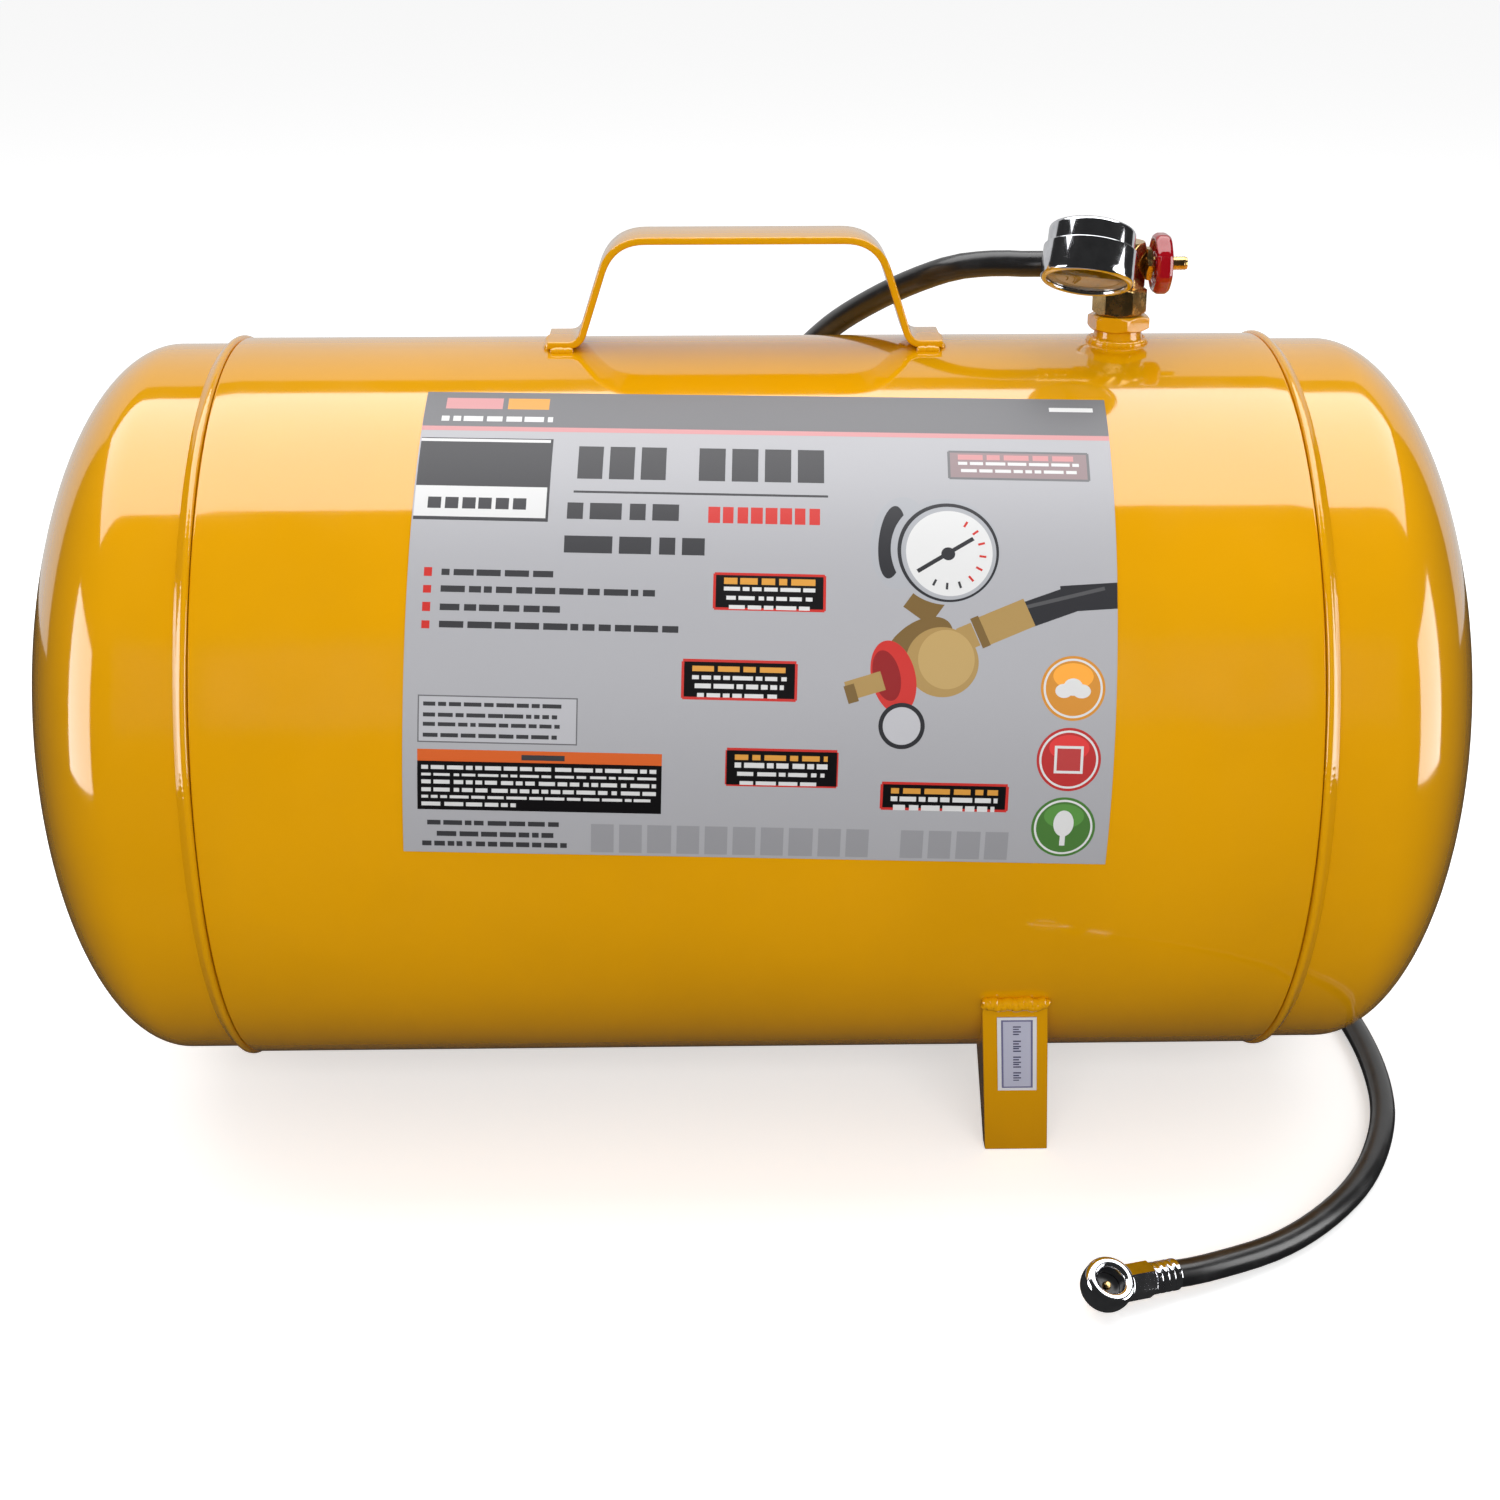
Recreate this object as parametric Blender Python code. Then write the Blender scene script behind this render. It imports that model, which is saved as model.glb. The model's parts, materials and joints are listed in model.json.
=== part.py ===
"""Portable air receiver tank with a strap handle, three feet, a brass valve manifold and a hose.

Frame: metres, +Z up, the floor at Z = 0, the tank's axis along X, its labelled side facing -Y.
"""

from math import atan2, ceil, cos, pi, radians, sin, sqrt, tan

import bmesh
import bpy
from mathutils import Matrix, Vector

# Driving dimensions, in metres.
FIT_GAP = 0.0003  # between touching pieces
RUNNING_GAP = 0.0001  # between a shaft and its hole

TANK_RADIUS = 0.1525  # outside of the rolled shell
SHELL_HALF = 0.2109  # half of the shell's length
WALL = 0.002  # sheet thickness of shell and heads
HEAD_FLANGE = 0.0279  # straight part of a head beyond the shell's end
HEAD_DEPTH = 0.0583  # depth of the elliptical dish
HEAD_LAP = 0.012  # how far a head slides into the shell
WELD_LENGTH = 0.0055  # girth weld, along the tank
WELD_PROUD = 0.001  # girth weld, above the shell
WELD_SHOULDER = 0.0004  # how much lower than its crown a weld's two edges are
BELLY_HEIGHT = 0.0205  # the shell's lowest line above the floor

HANDLE_X = -0.0028
HANDLE_HEIGHT = 0.045  # top face above the shell's top line
HANDLE_TOP_HALF = 0.0545  # half width where the outer faces of leg and bar would meet
HANDLE_BASE_HALF = 0.0692
HANDLE_TAB = 0.0108  # welded tab beyond each leg
STRAP_WIDTH = 0.030
STRAP_THICKNESS = 0.003
STRAP_BEND = 0.013  # outside bend radius at the bar's ends
TAB_BEND = 0.002  # inside bend radius where a leg meets its tab

FOOT_WIDTH = 0.0264
FOOT_SHEET = 0.0025
FOOT_TOP_ANGLE = radians(35.2)  # below horizontal, where the plate meets the shell
FOOT_BACK_ANGLE = radians(56.9)  # below horizontal, where the flanges leave the shell
FOOT_TILT = radians(19.9)  # the plate's lean inwards from vertical
FOOT_SOLE = 0.0075  # depth of the sole, front to back
FOOT_SPLAY = 0.0074  # sideways shift of the sole, towards the tank's nearer end
FRONT_FOOT_X = 0.1026
REAR_FOOT_X = 0.186
FOOT_WELD = 0.0055
FOOT_WELD_CROWN = 0.0022  # the bead's bulge off its chord
FOOT_WELD_OVERRUN = 0.0018  # of the bead beyond the foot, each side

BUNG_X = 0.1508
BUNG_NECK_RADIUS = 0.010
BUNG_HEX = 0.0225  # across flats
BUNG_HEX_BASE = 0.0050  # above the shell's top line
BUNG_TOP = 0.0110
THREAD_RADIUS = 0.0065  # manifold's spigot in the bung
NECK_DEPTH = 0.002  # of the bung's neck, inside the shell

COLLAR_HEX = 0.0190  # manifold's wrench hex
COLLAR_TOP = 0.0222
BODY_WIDTH = 0.0185  # manifold's octagonal body, across flats
BODY_TOP = 0.0405
PORT_HEIGHT = 0.0315  # valve and hose axis above the shell's top line
CHAMBER_RADIUS = 0.0045
SEAT_X = -0.0040  # valve seat, from the manifold's axis
SEAT_HOLE_RADIUS = 0.0022
PASSAGE_RADIUS = 0.0018  # to gauge and relief ports
TANK_BORE_RADIUS = 0.0032
PORT_THREAD_RADIUS = 0.0040  # of the hose and relief ports
PORT_THREAD_LENGTH = 0.0035  # of the bonnet, the hose fitting and the relief valve
SEAT_WALL = 0.0012  # between the chamber and the hose port
GAUGE_BOSS_RADIUS = 0.0052
RELIEF_BOSS_RADIUS = 0.0065
RELIEF_BOSS_PROUD = 0.003  # beyond the body's flat

STEM_RADIUS = 0.0030
STEM_BORE_RADIUS = 0.0019
STEM_TIP_X = 0.0268
SEAT_DISC_RADIUS = 0.0036
SEAT_DISC_THICKNESS = 0.0014
FILL_BORE_START = 0.0050
FILL_PASSAGE_RADIUS = 0.0011
CROSS_HOLE_RADIUS = 0.0009
CORE_LENGTH = 0.0060
CORE_BELOW_TIP = 0.0020
CORE_BORE_RADIUS = 0.0009
PIN_RADIUS = 0.0006  # of the pin in the fill core
PIN_HEAD_RADIUS = 0.0014
PACKING_LENGTH = 0.0012
PIN_TRAVEL = 0.0012  # of the pins in the fill core and in the chuck
BONNET_HEX = 0.0125
BONNET_LENGTH = 0.0026
WHEEL_RADIUS = 0.0125
WHEEL_RIM_WIDTH = 0.0066
WHEEL_START_X = 0.0127
WHEEL_HOLES = 5
WHEEL_HOLE_RADIUS = 0.0015
WHEEL_HUB_RADIUS = 0.0050
WHEEL_RIM_DEPTH = 0.0034  # the rim's section, outside to inside
WHEEL_WEB_HALF = 0.0011  # half of the web's thickness
WHEEL_CHAMFER = 0.0012
NUT_HEX = 0.0085
NUT_LENGTH = 0.0020
LIFT_PER_TURN = 0.0015  # thread pitch of the valve spindle

HOSE_RADIUS = 0.00525
HOSE_HEX = 0.0140
HOSE_HEX_LENGTH = 0.0065
FITTING_BORE_RADIUS = 0.0016
CRIMP_DEPTH = 0.0005
HOSE_LEAD = 0.009  # straight run out of the ferrule
FERRULE_RADIUS = 0.0066
FERRULE_LENGTH = 0.0150
NIPPLE_RADIUS = 0.0030

GAUGE_CENTRE = Vector((-0.0177, -0.0291, 0.0399))  # from the manifold's foot on the shell
GAUGE_PORT = Vector((0.0020, 0.0, 0.0225))  # the point on the manifold that its stem aims at
GAUGE_LOOK = Vector((-0.14, -0.43, -0.89))  # roughly where the dial faces
GAUGE_RADIUS = 0.0185  # bezel
GAUGE_SHEET = 0.0009
CASE_RADIUS = 0.0172
CASE_BACK = -0.0115
BEZEL_FRONT = 0.0115
BEZEL_BACK = -0.0020
BEZEL_LIP = 0.0012  # thickness of the lip over the lens
LENS_SEAT = 0.0033  # case's edge behind the bezel's front
DIAL_HEIGHT = 0.0050
DIAL_THICKNESS = 0.0006
SOCKET_HEX = 0.0098
SOCKET_HEX_LENGTH = 0.0034
SOCKET_CLEARANCE = 0.0004  # from the bezel to the socket's hex
SOCKET_NECK_RADIUS = 0.0046
SOCKET_BORE_RADIUS = 0.0011
STEM_BEHIND = -0.0030  # the stem's axis from the drum's middle, along its axis
BOURDON_BEHIND = -0.0054
BOURDON_START = radians(26)
BOURDON_END = radians(278)
SOCKET_THREAD = 0.0039
SOCKET_STOP = 0.0125  # the threaded hole's bottom, short of the point aimed at
GEAR_MODULE = 0.00045
PINION_TEETH = 8
SECTOR_TEETH = 40  # on the full circle
SECTOR_CUT_TEETH = 11  # that the sector carries
NEEDLE_LENGTH = 0.0125
NEEDLE_TAIL = 0.0040
NEEDLE_HALF_WIDTH = 0.0009
SHAFT_RADIUS = 0.0006  # carries pinion and needle
PIVOT_RADIUS = 0.0008  # carries the sector
TOOTH_SHARE = 0.78  # of half the pitch, so that the teeth run clear
DIAL_SWEEP = radians(270)

RELIEF_Z = 0.0300
RELIEF_HEX = 0.0120
RELIEF_BODY_RADIUS = 0.0052
RELIEF_LENGTH = 0.0200
RELIEF_STEM_RADIUS = 0.0015
RELIEF_HEX_LENGTH = 0.0055
RELIEF_POPPET_RADIUS = 0.0032
RELIEF_CHAMBER_RADIUS = 0.0036
RELIEF_CAP = 0.0020  # end wall that guides the stem
RELIEF_EYE = 0.0045  # from the barrel's end to the eye
EYE_RADIUS = 0.0026
EYE_HALF_WIDTH = 0.0011
RING_RADIUS = 0.0095  # pull ring, to the middle of its wire
RING_WIRE = 0.0009
RELIEF_TRAVEL = 0.0025

CHUCK_CENTRE = Vector((0.1284, -0.2144, 0.0112))
CHUCK_TO_HOSE = Vector((0.922, 0.379, -0.075))
CHUCK_FACE = Vector((0.20, -0.50, 0.84))  # roughly where the chuck's mouth faces
CHUCK_RADIUS = 0.0100
CHUCK_TOP = 0.0070
CHUCK_BASE = -0.0065
CHUCK_BORE_RADIUS = 0.0053
CHUCK_BORE_DEPTH = 0.0112
CHUCK_HEX = 0.0122
CHUCK_NECK_END = 0.0195
CHUCK_FERRULE_RADIUS = 0.0061
CHUCK_FERRULE_END = 0.0310
CHUCK_LEAD = 0.014  # straight run of hose out of the ferrule
CHUCK_SEAL_RISE = 0.0038  # from the bore's floor
CHUCK_SEAL_LENGTH = 0.0016
CHUCK_PIN_RISE = 0.0030
CHUCK_SLOT_HALF = 0.0014
CHUCK_SLOT_DEPTH = 0.0032
CHUCK_SLOT_TURN = radians(62)
CHUCK_AIR_WAY_Z = -0.0012

LABEL_X = 0.0016
LABEL_LENGTH = 0.2640
LABEL_HEIGHT = 0.1946  # measured round the shell
LABEL_ANGLE = radians(32.1)  # centre, above horizontal
LABEL_TWIST = radians(-1.77)
LABEL_THICKNESS = 0.0003
STICKER_WIDTH = 0.0160
STICKER_LENGTH = 0.0440
STICKER_THICKNESS = 0.0003
STICKER_DROP = 0.008  # below the plate's top edge
STICKER_SHIFT = 0.0006

# The hose, from its ferrule over the back of the tank, down, along the floor and round to the chuck.
HOSE_ROUTE = [
    (0.0980, 0.0015, 0.3570), (0.0800, 0.0100, 0.3530), (0.0560, 0.0400, 0.3370),
    (0.0330, 0.0770, 0.3138), (0.0130, 0.1200, 0.2800), (-0.0030, 0.1500, 0.2320),
    (-0.0130, 0.1640, 0.1800), (-0.0140, 0.1720, 0.1280), (-0.0050, 0.1790, 0.0790),
    (0.0160, 0.1880, 0.0390), (0.0480, 0.1980, 0.0140), (0.0880, 0.2060, 0.0063),
    (0.1320, 0.2050, 0.0056), (0.1740, 0.1930, 0.0055), (0.2120, 0.1680, 0.0055),
    (0.2420, 0.1330, 0.0055), (0.2620, 0.0910, 0.0055), (0.2740, 0.0470, 0.0055),
    (0.2780, 0.0040, 0.0055), (0.2770, -0.0360, 0.0055), (0.2710, -0.0740, 0.0055),
    (0.2590, -0.1080, 0.0055), (0.2430, -0.1370, 0.0055), (0.2220, -0.1620, 0.0055),
    (0.1990, -0.1810, 0.0058),
]

# Worked out from the driving dimensions.
AXIS_HEIGHT = TANK_RADIUS + BELLY_HEIGHT
TANK_TOP = AXIS_HEIGHT + TANK_RADIUS
HEAD_RADIUS = TANK_RADIUS - WALL - FIT_GAP
BODY_HALF = BODY_WIDTH / 2

PAINT = ("yellow_paint", (0.86, 0.50, 0.02), 0.25, 0.0)
BRASS = ("brass", (0.72, 0.50, 0.22), 0.28, 1.0)
CHROME = ("chrome", (0.75, 0.76, 0.78), 0.10, 1.0)
STEEL = ("spring_steel", (0.45, 0.46, 0.48), 0.35, 1.0)
RED = ("red_enamel", (0.60, 0.02, 0.03), 0.30, 0.0)
RUBBER = ("black_rubber", (0.02, 0.02, 0.022), 0.45, 0.0)
LABEL = ("label_film", (0.62, 0.63, 0.66), 0.35, 0.0)
DIAL = ("dial_white", (0.90, 0.90, 0.88), 0.50, 0.0)
INK = ("needle_black", (0.02, 0.02, 0.02), 0.40, 0.0)
LENS = ("lens_clear", (0.92, 0.95, 0.97), 0.05, 0.0)


def clear_scene():
    for obj in list(bpy.data.objects):
        bpy.data.objects.remove(obj, do_unlink=True)


def material(spec):
    name, colour, roughness, metallic = spec
    made = bpy.data.materials.get(name)
    if made is None:
        made = bpy.data.materials.new(name)
        made.use_nodes = True
        shader = made.node_tree.nodes["Principled BSDF"]
        shader.inputs["Base Color"].default_value = (*colour, 1.0)
        shader.inputs["Roughness"].default_value = roughness
        shader.inputs["Metallic"].default_value = metallic
        made.diffuse_color = (*colour, 1.0)
    return made


def frame(name, place, parent=None):
    """An empty that holds the pieces of one group."""
    empty = bpy.data.objects.new(name, None)
    bpy.context.scene.collection.objects.link(empty)
    empty.parent = parent
    empty.matrix_local = place
    return empty


def axes_matrix(origin, z_axis, x_hint):
    """A frame at origin whose Z is z_axis and whose X is x_hint made square to it."""
    z = Vector(z_axis).normalized()
    x = Vector(x_hint)
    x = (x - z * x.dot(z)).normalized()
    y = z.cross(x)
    turn = Matrix((x, y, z)).transposed().to_4x4()
    return Matrix.Translation(origin) @ turn


ALONG_X = Matrix.Rotation(pi / 2, 4, "Y")  # turns a shape's +Z to +X
ALONG_Y = Matrix.Rotation(-pi / 2, 4, "X")  # turns a shape's +Z to +Y


def moved(x=0.0, y=0.0, z=0.0):
    return Matrix.Translation((x, y, z))


def place_mesh(name, bm, spec, parent=None, place=None, smooth=35):
    """Closes bm into a named object; spec None makes a hidden helper."""
    bmesh.ops.recalc_face_normals(bm, faces=bm.faces)
    mesh = bpy.data.meshes.new(name)
    bm.to_mesh(mesh)
    bm.free()
    obj = bpy.data.objects.new(name, mesh)
    bpy.context.scene.collection.objects.link(obj)
    obj.parent = parent
    obj.matrix_local = place if place is not None else Matrix()
    if spec is None:
        obj.hide_render = True
        obj.display_type = "WIRE"
    else:
        mesh.materials.append(material(spec))
        if smooth:
            mesh.shade_smooth()
            mesh.set_sharp_from_angle(angle=radians(smooth))
    return obj


def turned(profile, segments=32):
    """A turned shape about Z from (radius, height) points; a profile off the axis is closed into a ring."""
    bm = bmesh.new()
    verts = [bm.verts.new((r, 0.0, h)) for r, h in profile]
    edges = [bm.edges.new(pair) for pair in zip(verts, verts[1:])]
    if profile[0][0] > 0:
        edges.append(bm.edges.new((verts[-1], verts[0])))
    bmesh.ops.spin(bm, geom=verts + edges, cent=(0, 0, 0), axis=(0, 0, 1), dvec=(0, 0, 0),
                   angle=2 * pi, steps=segments, use_merge=True, use_duplicate=False)
    bmesh.ops.remove_doubles(bm, verts=bm.verts, dist=1e-7)
    return bm


def disc(radius, low, high):
    return [(0.0, low), (radius, low), (radius, high), (0.0, high)]


def ring(inner, outer, low, high):
    return [(inner, low), (outer, low), (outer, high), (inner, high)]


def prism(outline, low, high):
    """An outline in XY carried from low to high along Z."""
    bm = bmesh.new()
    face = bm.faces.new([bm.verts.new((x, y, low)) for x, y in outline])
    made = bmesh.ops.extrude_face_region(bm, geom=[face])["geom"]
    raised = [item for item in made if isinstance(item, bmesh.types.BMVert)]
    bmesh.ops.translate(bm, verts=raised, vec=(0, 0, high - low))
    return bm


def polygon(across_flats, sides, turn=0.0):
    reach = across_flats / 2 / cos(pi / sides)
    angles = [turn + pi / sides + 2 * pi * i / sides for i in range(sides)]
    return [(reach * cos(a), reach * sin(a)) for a in angles]


def nut(across_flats, low, high, turn=0.0, sides=6, chamfer=0.0006):
    """A wrench prism with its two end faces chamfered."""
    bm = prism(polygon(across_flats, sides, turn), low, high)
    sharp = [edge for edge in bm.edges if abs(edge.verts[0].co.z - edge.verts[1].co.z) < 1e-9]
    bmesh.ops.bevel(bm, geom=sharp, offset=chamfer, segments=1, affect="EDGES", profile=0.5)
    return bm


def change(obj, other, operation):
    modifier = obj.modifiers.new(other.name, "BOOLEAN")
    modifier.operation = operation
    modifier.object = other
    modifier.solver = "EXACT"
    tidy = obj.modifiers.new("tidy", "WELD")
    tidy.merge_threshold = 0.00001


def cut(obj, *cutters):
    for other in cutters:
        change(obj, other, "DIFFERENCE")


def fuse(obj, *others):
    for other in others:
        change(obj, other, "UNION")


def rod(name, parent, place, radius, low, high, segments=24):
    """A hidden round bar, used to join or to drill."""
    return place_mesh(name, turned(disc(radius, low, high), segments), None, parent, place)


def stepped_drill(name, parent, place, steps, segments=24):
    """A hidden cutter of coaxial cylinders, each given as radius, start and end along its axis."""
    profile = [(0.0, steps[0][1])]
    for radius, start, end in steps:
        profile += [(radius, start), (radius, end)]
    profile.append((0.0, steps[-1][2]))
    return place_mesh(name, turned(profile, segments), None, parent, place)


def arc(centre, radius, start, end, steps):
    angles = [start + (end - start) * i / steps for i in range(steps + 1)]
    return [(centre[0] + radius * cos(a), centre[1] + radius * sin(a)) for a in angles]


# Tank

def head_profile():
    """Down the outer side from the apex to the lap, then back up the inner side, as (radius, distance)."""
    base = SHELL_HALF + HEAD_FLANGE
    steps = 14
    angles = [pi / 2 * i / steps for i in range(steps)]
    inner_r, inner_h = HEAD_RADIUS - WALL, HEAD_DEPTH - WALL
    outer = [(HEAD_RADIUS * cos(a), base + HEAD_DEPTH * sin(a)) for a in reversed(angles)]
    inner = [(inner_r * cos(a), base + inner_h * sin(a)) for a in angles]
    lap = [(HEAD_RADIUS, SHELL_HALF - HEAD_LAP), (inner_r, SHELL_HALF - HEAD_LAP)]
    return [(0.0, base + HEAD_DEPTH)] + outer + lap + inner + [(0.0, base + inner_h)]


def build_tank():
    axis_frame = frame("tank_axis", moved(z=AXIS_HEIGHT))
    shell = place_mesh("shell", turned(ring(TANK_RADIUS - WALL, TANK_RADIUS, -SHELL_HALF, SHELL_HALF), 64),
                       PAINT, axis_frame, ALONG_X)
    hole = rod("bung_hole", axis_frame, moved(x=BUNG_X), BUNG_NECK_RADIUS + FIT_GAP,
               TANK_RADIUS / 2, 2 * TANK_RADIUS)
    cut(shell, hole)
    for name, sign in (("right_head", 1), ("left_head", -1)):
        outward = Matrix.Rotation(sign * pi / 2, 4, "Y")
        place_mesh(name, turned(head_profile(), 48), PAINT, axis_frame, outward)
    foot, top = HEAD_RADIUS + FIT_GAP, TANK_RADIUS + WELD_PROUD
    start = SHELL_HALF + FIT_GAP
    bead = [(foot, start), (foot, start + WELD_LENGTH),
            (foot + 0.4 * (top - foot), start + 0.85 * WELD_LENGTH),
            (top - WELD_SHOULDER, start + 0.45 * WELD_LENGTH), (top, start + 0.15 * WELD_LENGTH),
            (top - WELD_SHOULDER, start)]
    for name, sign in (("right_girth_weld", 1), ("left_girth_weld", -1)):
        place_mesh(name, turned(bead, 48), PAINT, axis_frame, Matrix.Rotation(sign * pi / 2, 4, "Y"))


# Handle

def rounded_corner(before, corner, after, radius, steps=5):
    """Points of an arc that rounds a corner of a path."""
    a, b, c = (Vector(p) for p in (before, corner, after))
    to_a, to_c = (a - b).normalized(), (c - b).normalized()
    half = to_a.angle(to_c) / 2
    centre = b + (to_a + to_c).normalized() * (radius / sin(half))
    start = b + to_a * (radius / tan(half)) - centre
    end = b + to_c * (radius / tan(half)) - centre
    first, last = atan2(start.y, start.x), atan2(end.y, end.x)
    turn = (last - first + pi) % (2 * pi) - pi
    return arc((centre.x, centre.y), radius, first, first + turn, steps)


def handle_side(inset):
    """Right half of the strap's outline, inset from its outer face, from the tab's tip to the middle."""
    tab_top = FIT_GAP + STRAP_THICKNESS - inset
    slope = (HANDLE_HEIGHT - FIT_GAP) / (HANDLE_BASE_HALF - HANDLE_TOP_HALF)
    lean = inset * sqrt(1 + 1 / slope ** 2)

    def leg_x(z):
        return HANDLE_TOP_HALF + (HANDLE_HEIGHT - z) / slope - lean

    tip = HANDLE_BASE_HALF + HANDLE_TAB
    ankle = (leg_x(tab_top), tab_top)
    corner = (leg_x(HANDLE_HEIGHT - inset), HANDLE_HEIGHT - inset)
    middle = (0.0, HANDLE_HEIGHT - inset)
    points = [(tip, tab_top)]
    points += rounded_corner((tip, tab_top), ankle, corner, TAB_BEND + inset, 2)
    points += rounded_corner(ankle, corner, middle, STRAP_BEND - inset)
    return points


def build_handle():
    outer, inner = handle_side(0.0), handle_side(STRAP_THICKNESS)
    outline = outer + [(-x, z) for x, z in reversed(outer)]
    outline += [(-x, z) for x, z in inner] + list(reversed(inner))
    turn = Matrix.Rotation(pi / 2, 4, "X")
    place_mesh("handle", prism(outline, -STRAP_WIDTH / 2, STRAP_WIDTH / 2), PAINT, None,
               moved(x=HANDLE_X, z=TANK_TOP) @ turn)


# Feet

def foot_side():
    """Side view of a foot as (y, z) from the tank's axis: plate, sole, back edge and the shell's arc."""
    reach = TANK_RADIUS + FIT_GAP
    arc_points = arc((0.0, 0.0), reach, pi + FOOT_BACK_ANGLE, pi + FOOT_TOP_ANGLE, 5)
    top = arc_points[-1]
    toe_y = top[0] + (AXIS_HEIGHT + top[1]) * tan(FOOT_TILT)
    toe = (toe_y, -AXIS_HEIGHT)
    heel = (toe_y + FOOT_SOLE, -AXIS_HEIGHT)
    return arc_points + [toe, heel]


def splay(bm, top_z, amount):
    """Leans the foot sideways, nothing at its top and by amount at its sole."""
    for vert in bm.verts:
        vert.co.x += amount * (top_z - vert.co.z) / (AXIS_HEIGHT + top_z)


def build_foot(name, axis_frame, x, side, splay_sign, with_sticker=False):
    """side is 1 for a foot in front and -1 for one behind."""
    outline = [(side * y, z) for y, z in foot_side()]
    top_y, top_z = outline[5]
    stand = Matrix(((0, 0, 1, 0), (1, 0, 0, 0), (0, 1, 0, 0), (0, 0, 0, 1)))

    def finished(bm):
        bmesh.ops.transform(bm, matrix=stand, verts=bm.verts)
        splay(bm, top_z, splay_sign * FOOT_SPLAY)
        return bm

    foot = place_mesh(name, finished(prism(outline, -FOOT_WIDTH / 2, FOOT_WIDTH / 2)), PAINT, axis_frame,
                      moved(x=x), smooth=0)
    along = Vector((side * sin(FOOT_TILT), -cos(FOOT_TILT)))
    into = Vector((side * cos(FOOT_TILT), sin(FOOT_TILT)))
    start = Vector((top_y, top_z)) + into * FOOT_SHEET
    pocket = [start - along * 0.05, start + along * 0.15, start + along * 0.15 + into * 0.15,
              start - along * 0.05 + into * 0.15]
    inner_half = FOOT_WIDTH / 2 - FOOT_SHEET
    hollow = finished(prism([tuple(p) for p in pocket], -inner_half, inner_half))
    cutter = place_mesh(name + "_pocket", hollow, None, axis_frame, moved(x=x))
    cut(foot, cutter)
    build_foot_weld(name + "_weld", axis_frame, x, side, along, into, (top_y, top_z))
    if with_sticker:
        build_sticker(axis_frame, x, Vector((top_y, top_z)), along, into, top_z, splay_sign)


def build_foot_weld(name, axis_frame, x, side, along, into, top):
    """A fillet bead that lies in the corner between the shell and the plate's top edge."""
    radial = Vector(top).normalized()
    round_shell = Vector((-radial.y, radial.x)) * side
    corner = Vector(top) + radial * FIT_GAP - into * FIT_GAP
    bead_high = corner - round_shell * FOOT_WELD + radial * (FIT_GAP + FOOT_WELD ** 2 / TANK_RADIUS)
    bead_low = corner + along * FOOT_WELD * 0.45 - into * 0.0002
    crown = (bead_high + bead_low) / 2 - into * FOOT_WELD_CROWN
    section = [corner, bead_high, bead_high * 0.35 + crown * 0.65 - into * 0.0008,
               bead_low * 0.35 + crown * 0.65 - into * 0.0004, bead_low]
    half = FOOT_WIDTH / 2 + FOOT_WELD_OVERRUN
    rows = [(-half, 0.35), (-half + 0.0016, 0.85), (0.0, 1.0), (half - 0.0016, 0.85), (half, 0.35)]
    bm = bmesh.new()
    loops = []
    for offset, size in rows:
        loops.append([bm.verts.new((offset, *(corner + (p - corner) * size))) for p in section])
    for one, two in zip(loops, loops[1:]):
        for i in range(len(section)):
            j = (i + 1) % len(section)
            bm.faces.new((one[i], one[j], two[j], two[i]))
    bm.faces.new(loops[0])
    bm.faces.new(loops[-1])
    place_mesh(name, bm, PAINT, axis_frame, moved(x=x))


def build_sticker(axis_frame, x, top, along, into, top_z, splay_sign):
    start = top + along * STICKER_DROP - into * FIT_GAP
    end = start + along * STICKER_LENGTH
    front = -into * STICKER_THICKNESS
    bm = bmesh.new()
    half = STICKER_WIDTH / 2
    corners = [[bm.verts.new((sx * half, *point)) for sx in (-1, 1)]
               for point in (start, end, end + front, start + front)]
    for one, two in zip(corners, corners[1:] + corners[:1]):
        bm.faces.new((one[0], one[1], two[1], two[0]))
    bm.faces.new([pair[0] for pair in corners])
    bm.faces.new([pair[1] for pair in corners])
    splay(bm, top_z, splay_sign * FOOT_SPLAY)
    place_mesh("foot_label", bm, LABEL, axis_frame, moved(x=x + STICKER_SHIFT), smooth=0)


def build_feet(axis_frame):
    build_foot("front_foot", axis_frame, FRONT_FOOT_X, 1, 1, with_sticker=True)
    build_foot("rear_right_foot", axis_frame, REAR_FOOT_X, -1, 1)
    build_foot("rear_left_foot", axis_frame, -REAR_FOOT_X, -1, -1)


# Label

def build_label(axis_frame):
    """A sheet bent round the shell, turned a little, with its own thickness."""
    columns, rows = 2, 20
    bm = bmesh.new()
    layers = []
    for radius in (TANK_RADIUS + FIT_GAP, TANK_RADIUS + FIT_GAP + LABEL_THICKNESS):
        grid = []
        for j in range(rows + 1):
            for i in range(columns + 1):
                u = LABEL_LENGTH * (i / columns - 0.5)
                v = LABEL_HEIGHT * (j / rows - 0.5)
                x = u * cos(LABEL_TWIST) - v * sin(LABEL_TWIST)
                angle = LABEL_ANGLE + (u * sin(LABEL_TWIST) + v * cos(LABEL_TWIST)) / TANK_RADIUS
                grid.append(bm.verts.new((x, -radius * cos(angle), radius * sin(angle))))
        layers.append(grid)
    width = columns + 1
    for grid in layers:
        for j in range(rows):
            for i in range(columns):
                k = j * width + i
                bm.faces.new((grid[k], grid[k + 1], grid[k + width + 1], grid[k + width]))
    rim = list(range(columns + 1)) + [j * width + columns for j in range(1, rows + 1)]
    rim += [rows * width + i for i in range(columns - 1, -1, -1)]
    rim += [j * width for j in range(rows - 1, 0, -1)]
    inner, outer = layers
    for k, m in zip(rim, rim[1:] + rim[:1]):
        bm.faces.new((inner[k], inner[m], outer[m], outer[k]))
    place_mesh("front_label", bm, LABEL, axis_frame, moved(x=LABEL_X))


# Manifold

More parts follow.
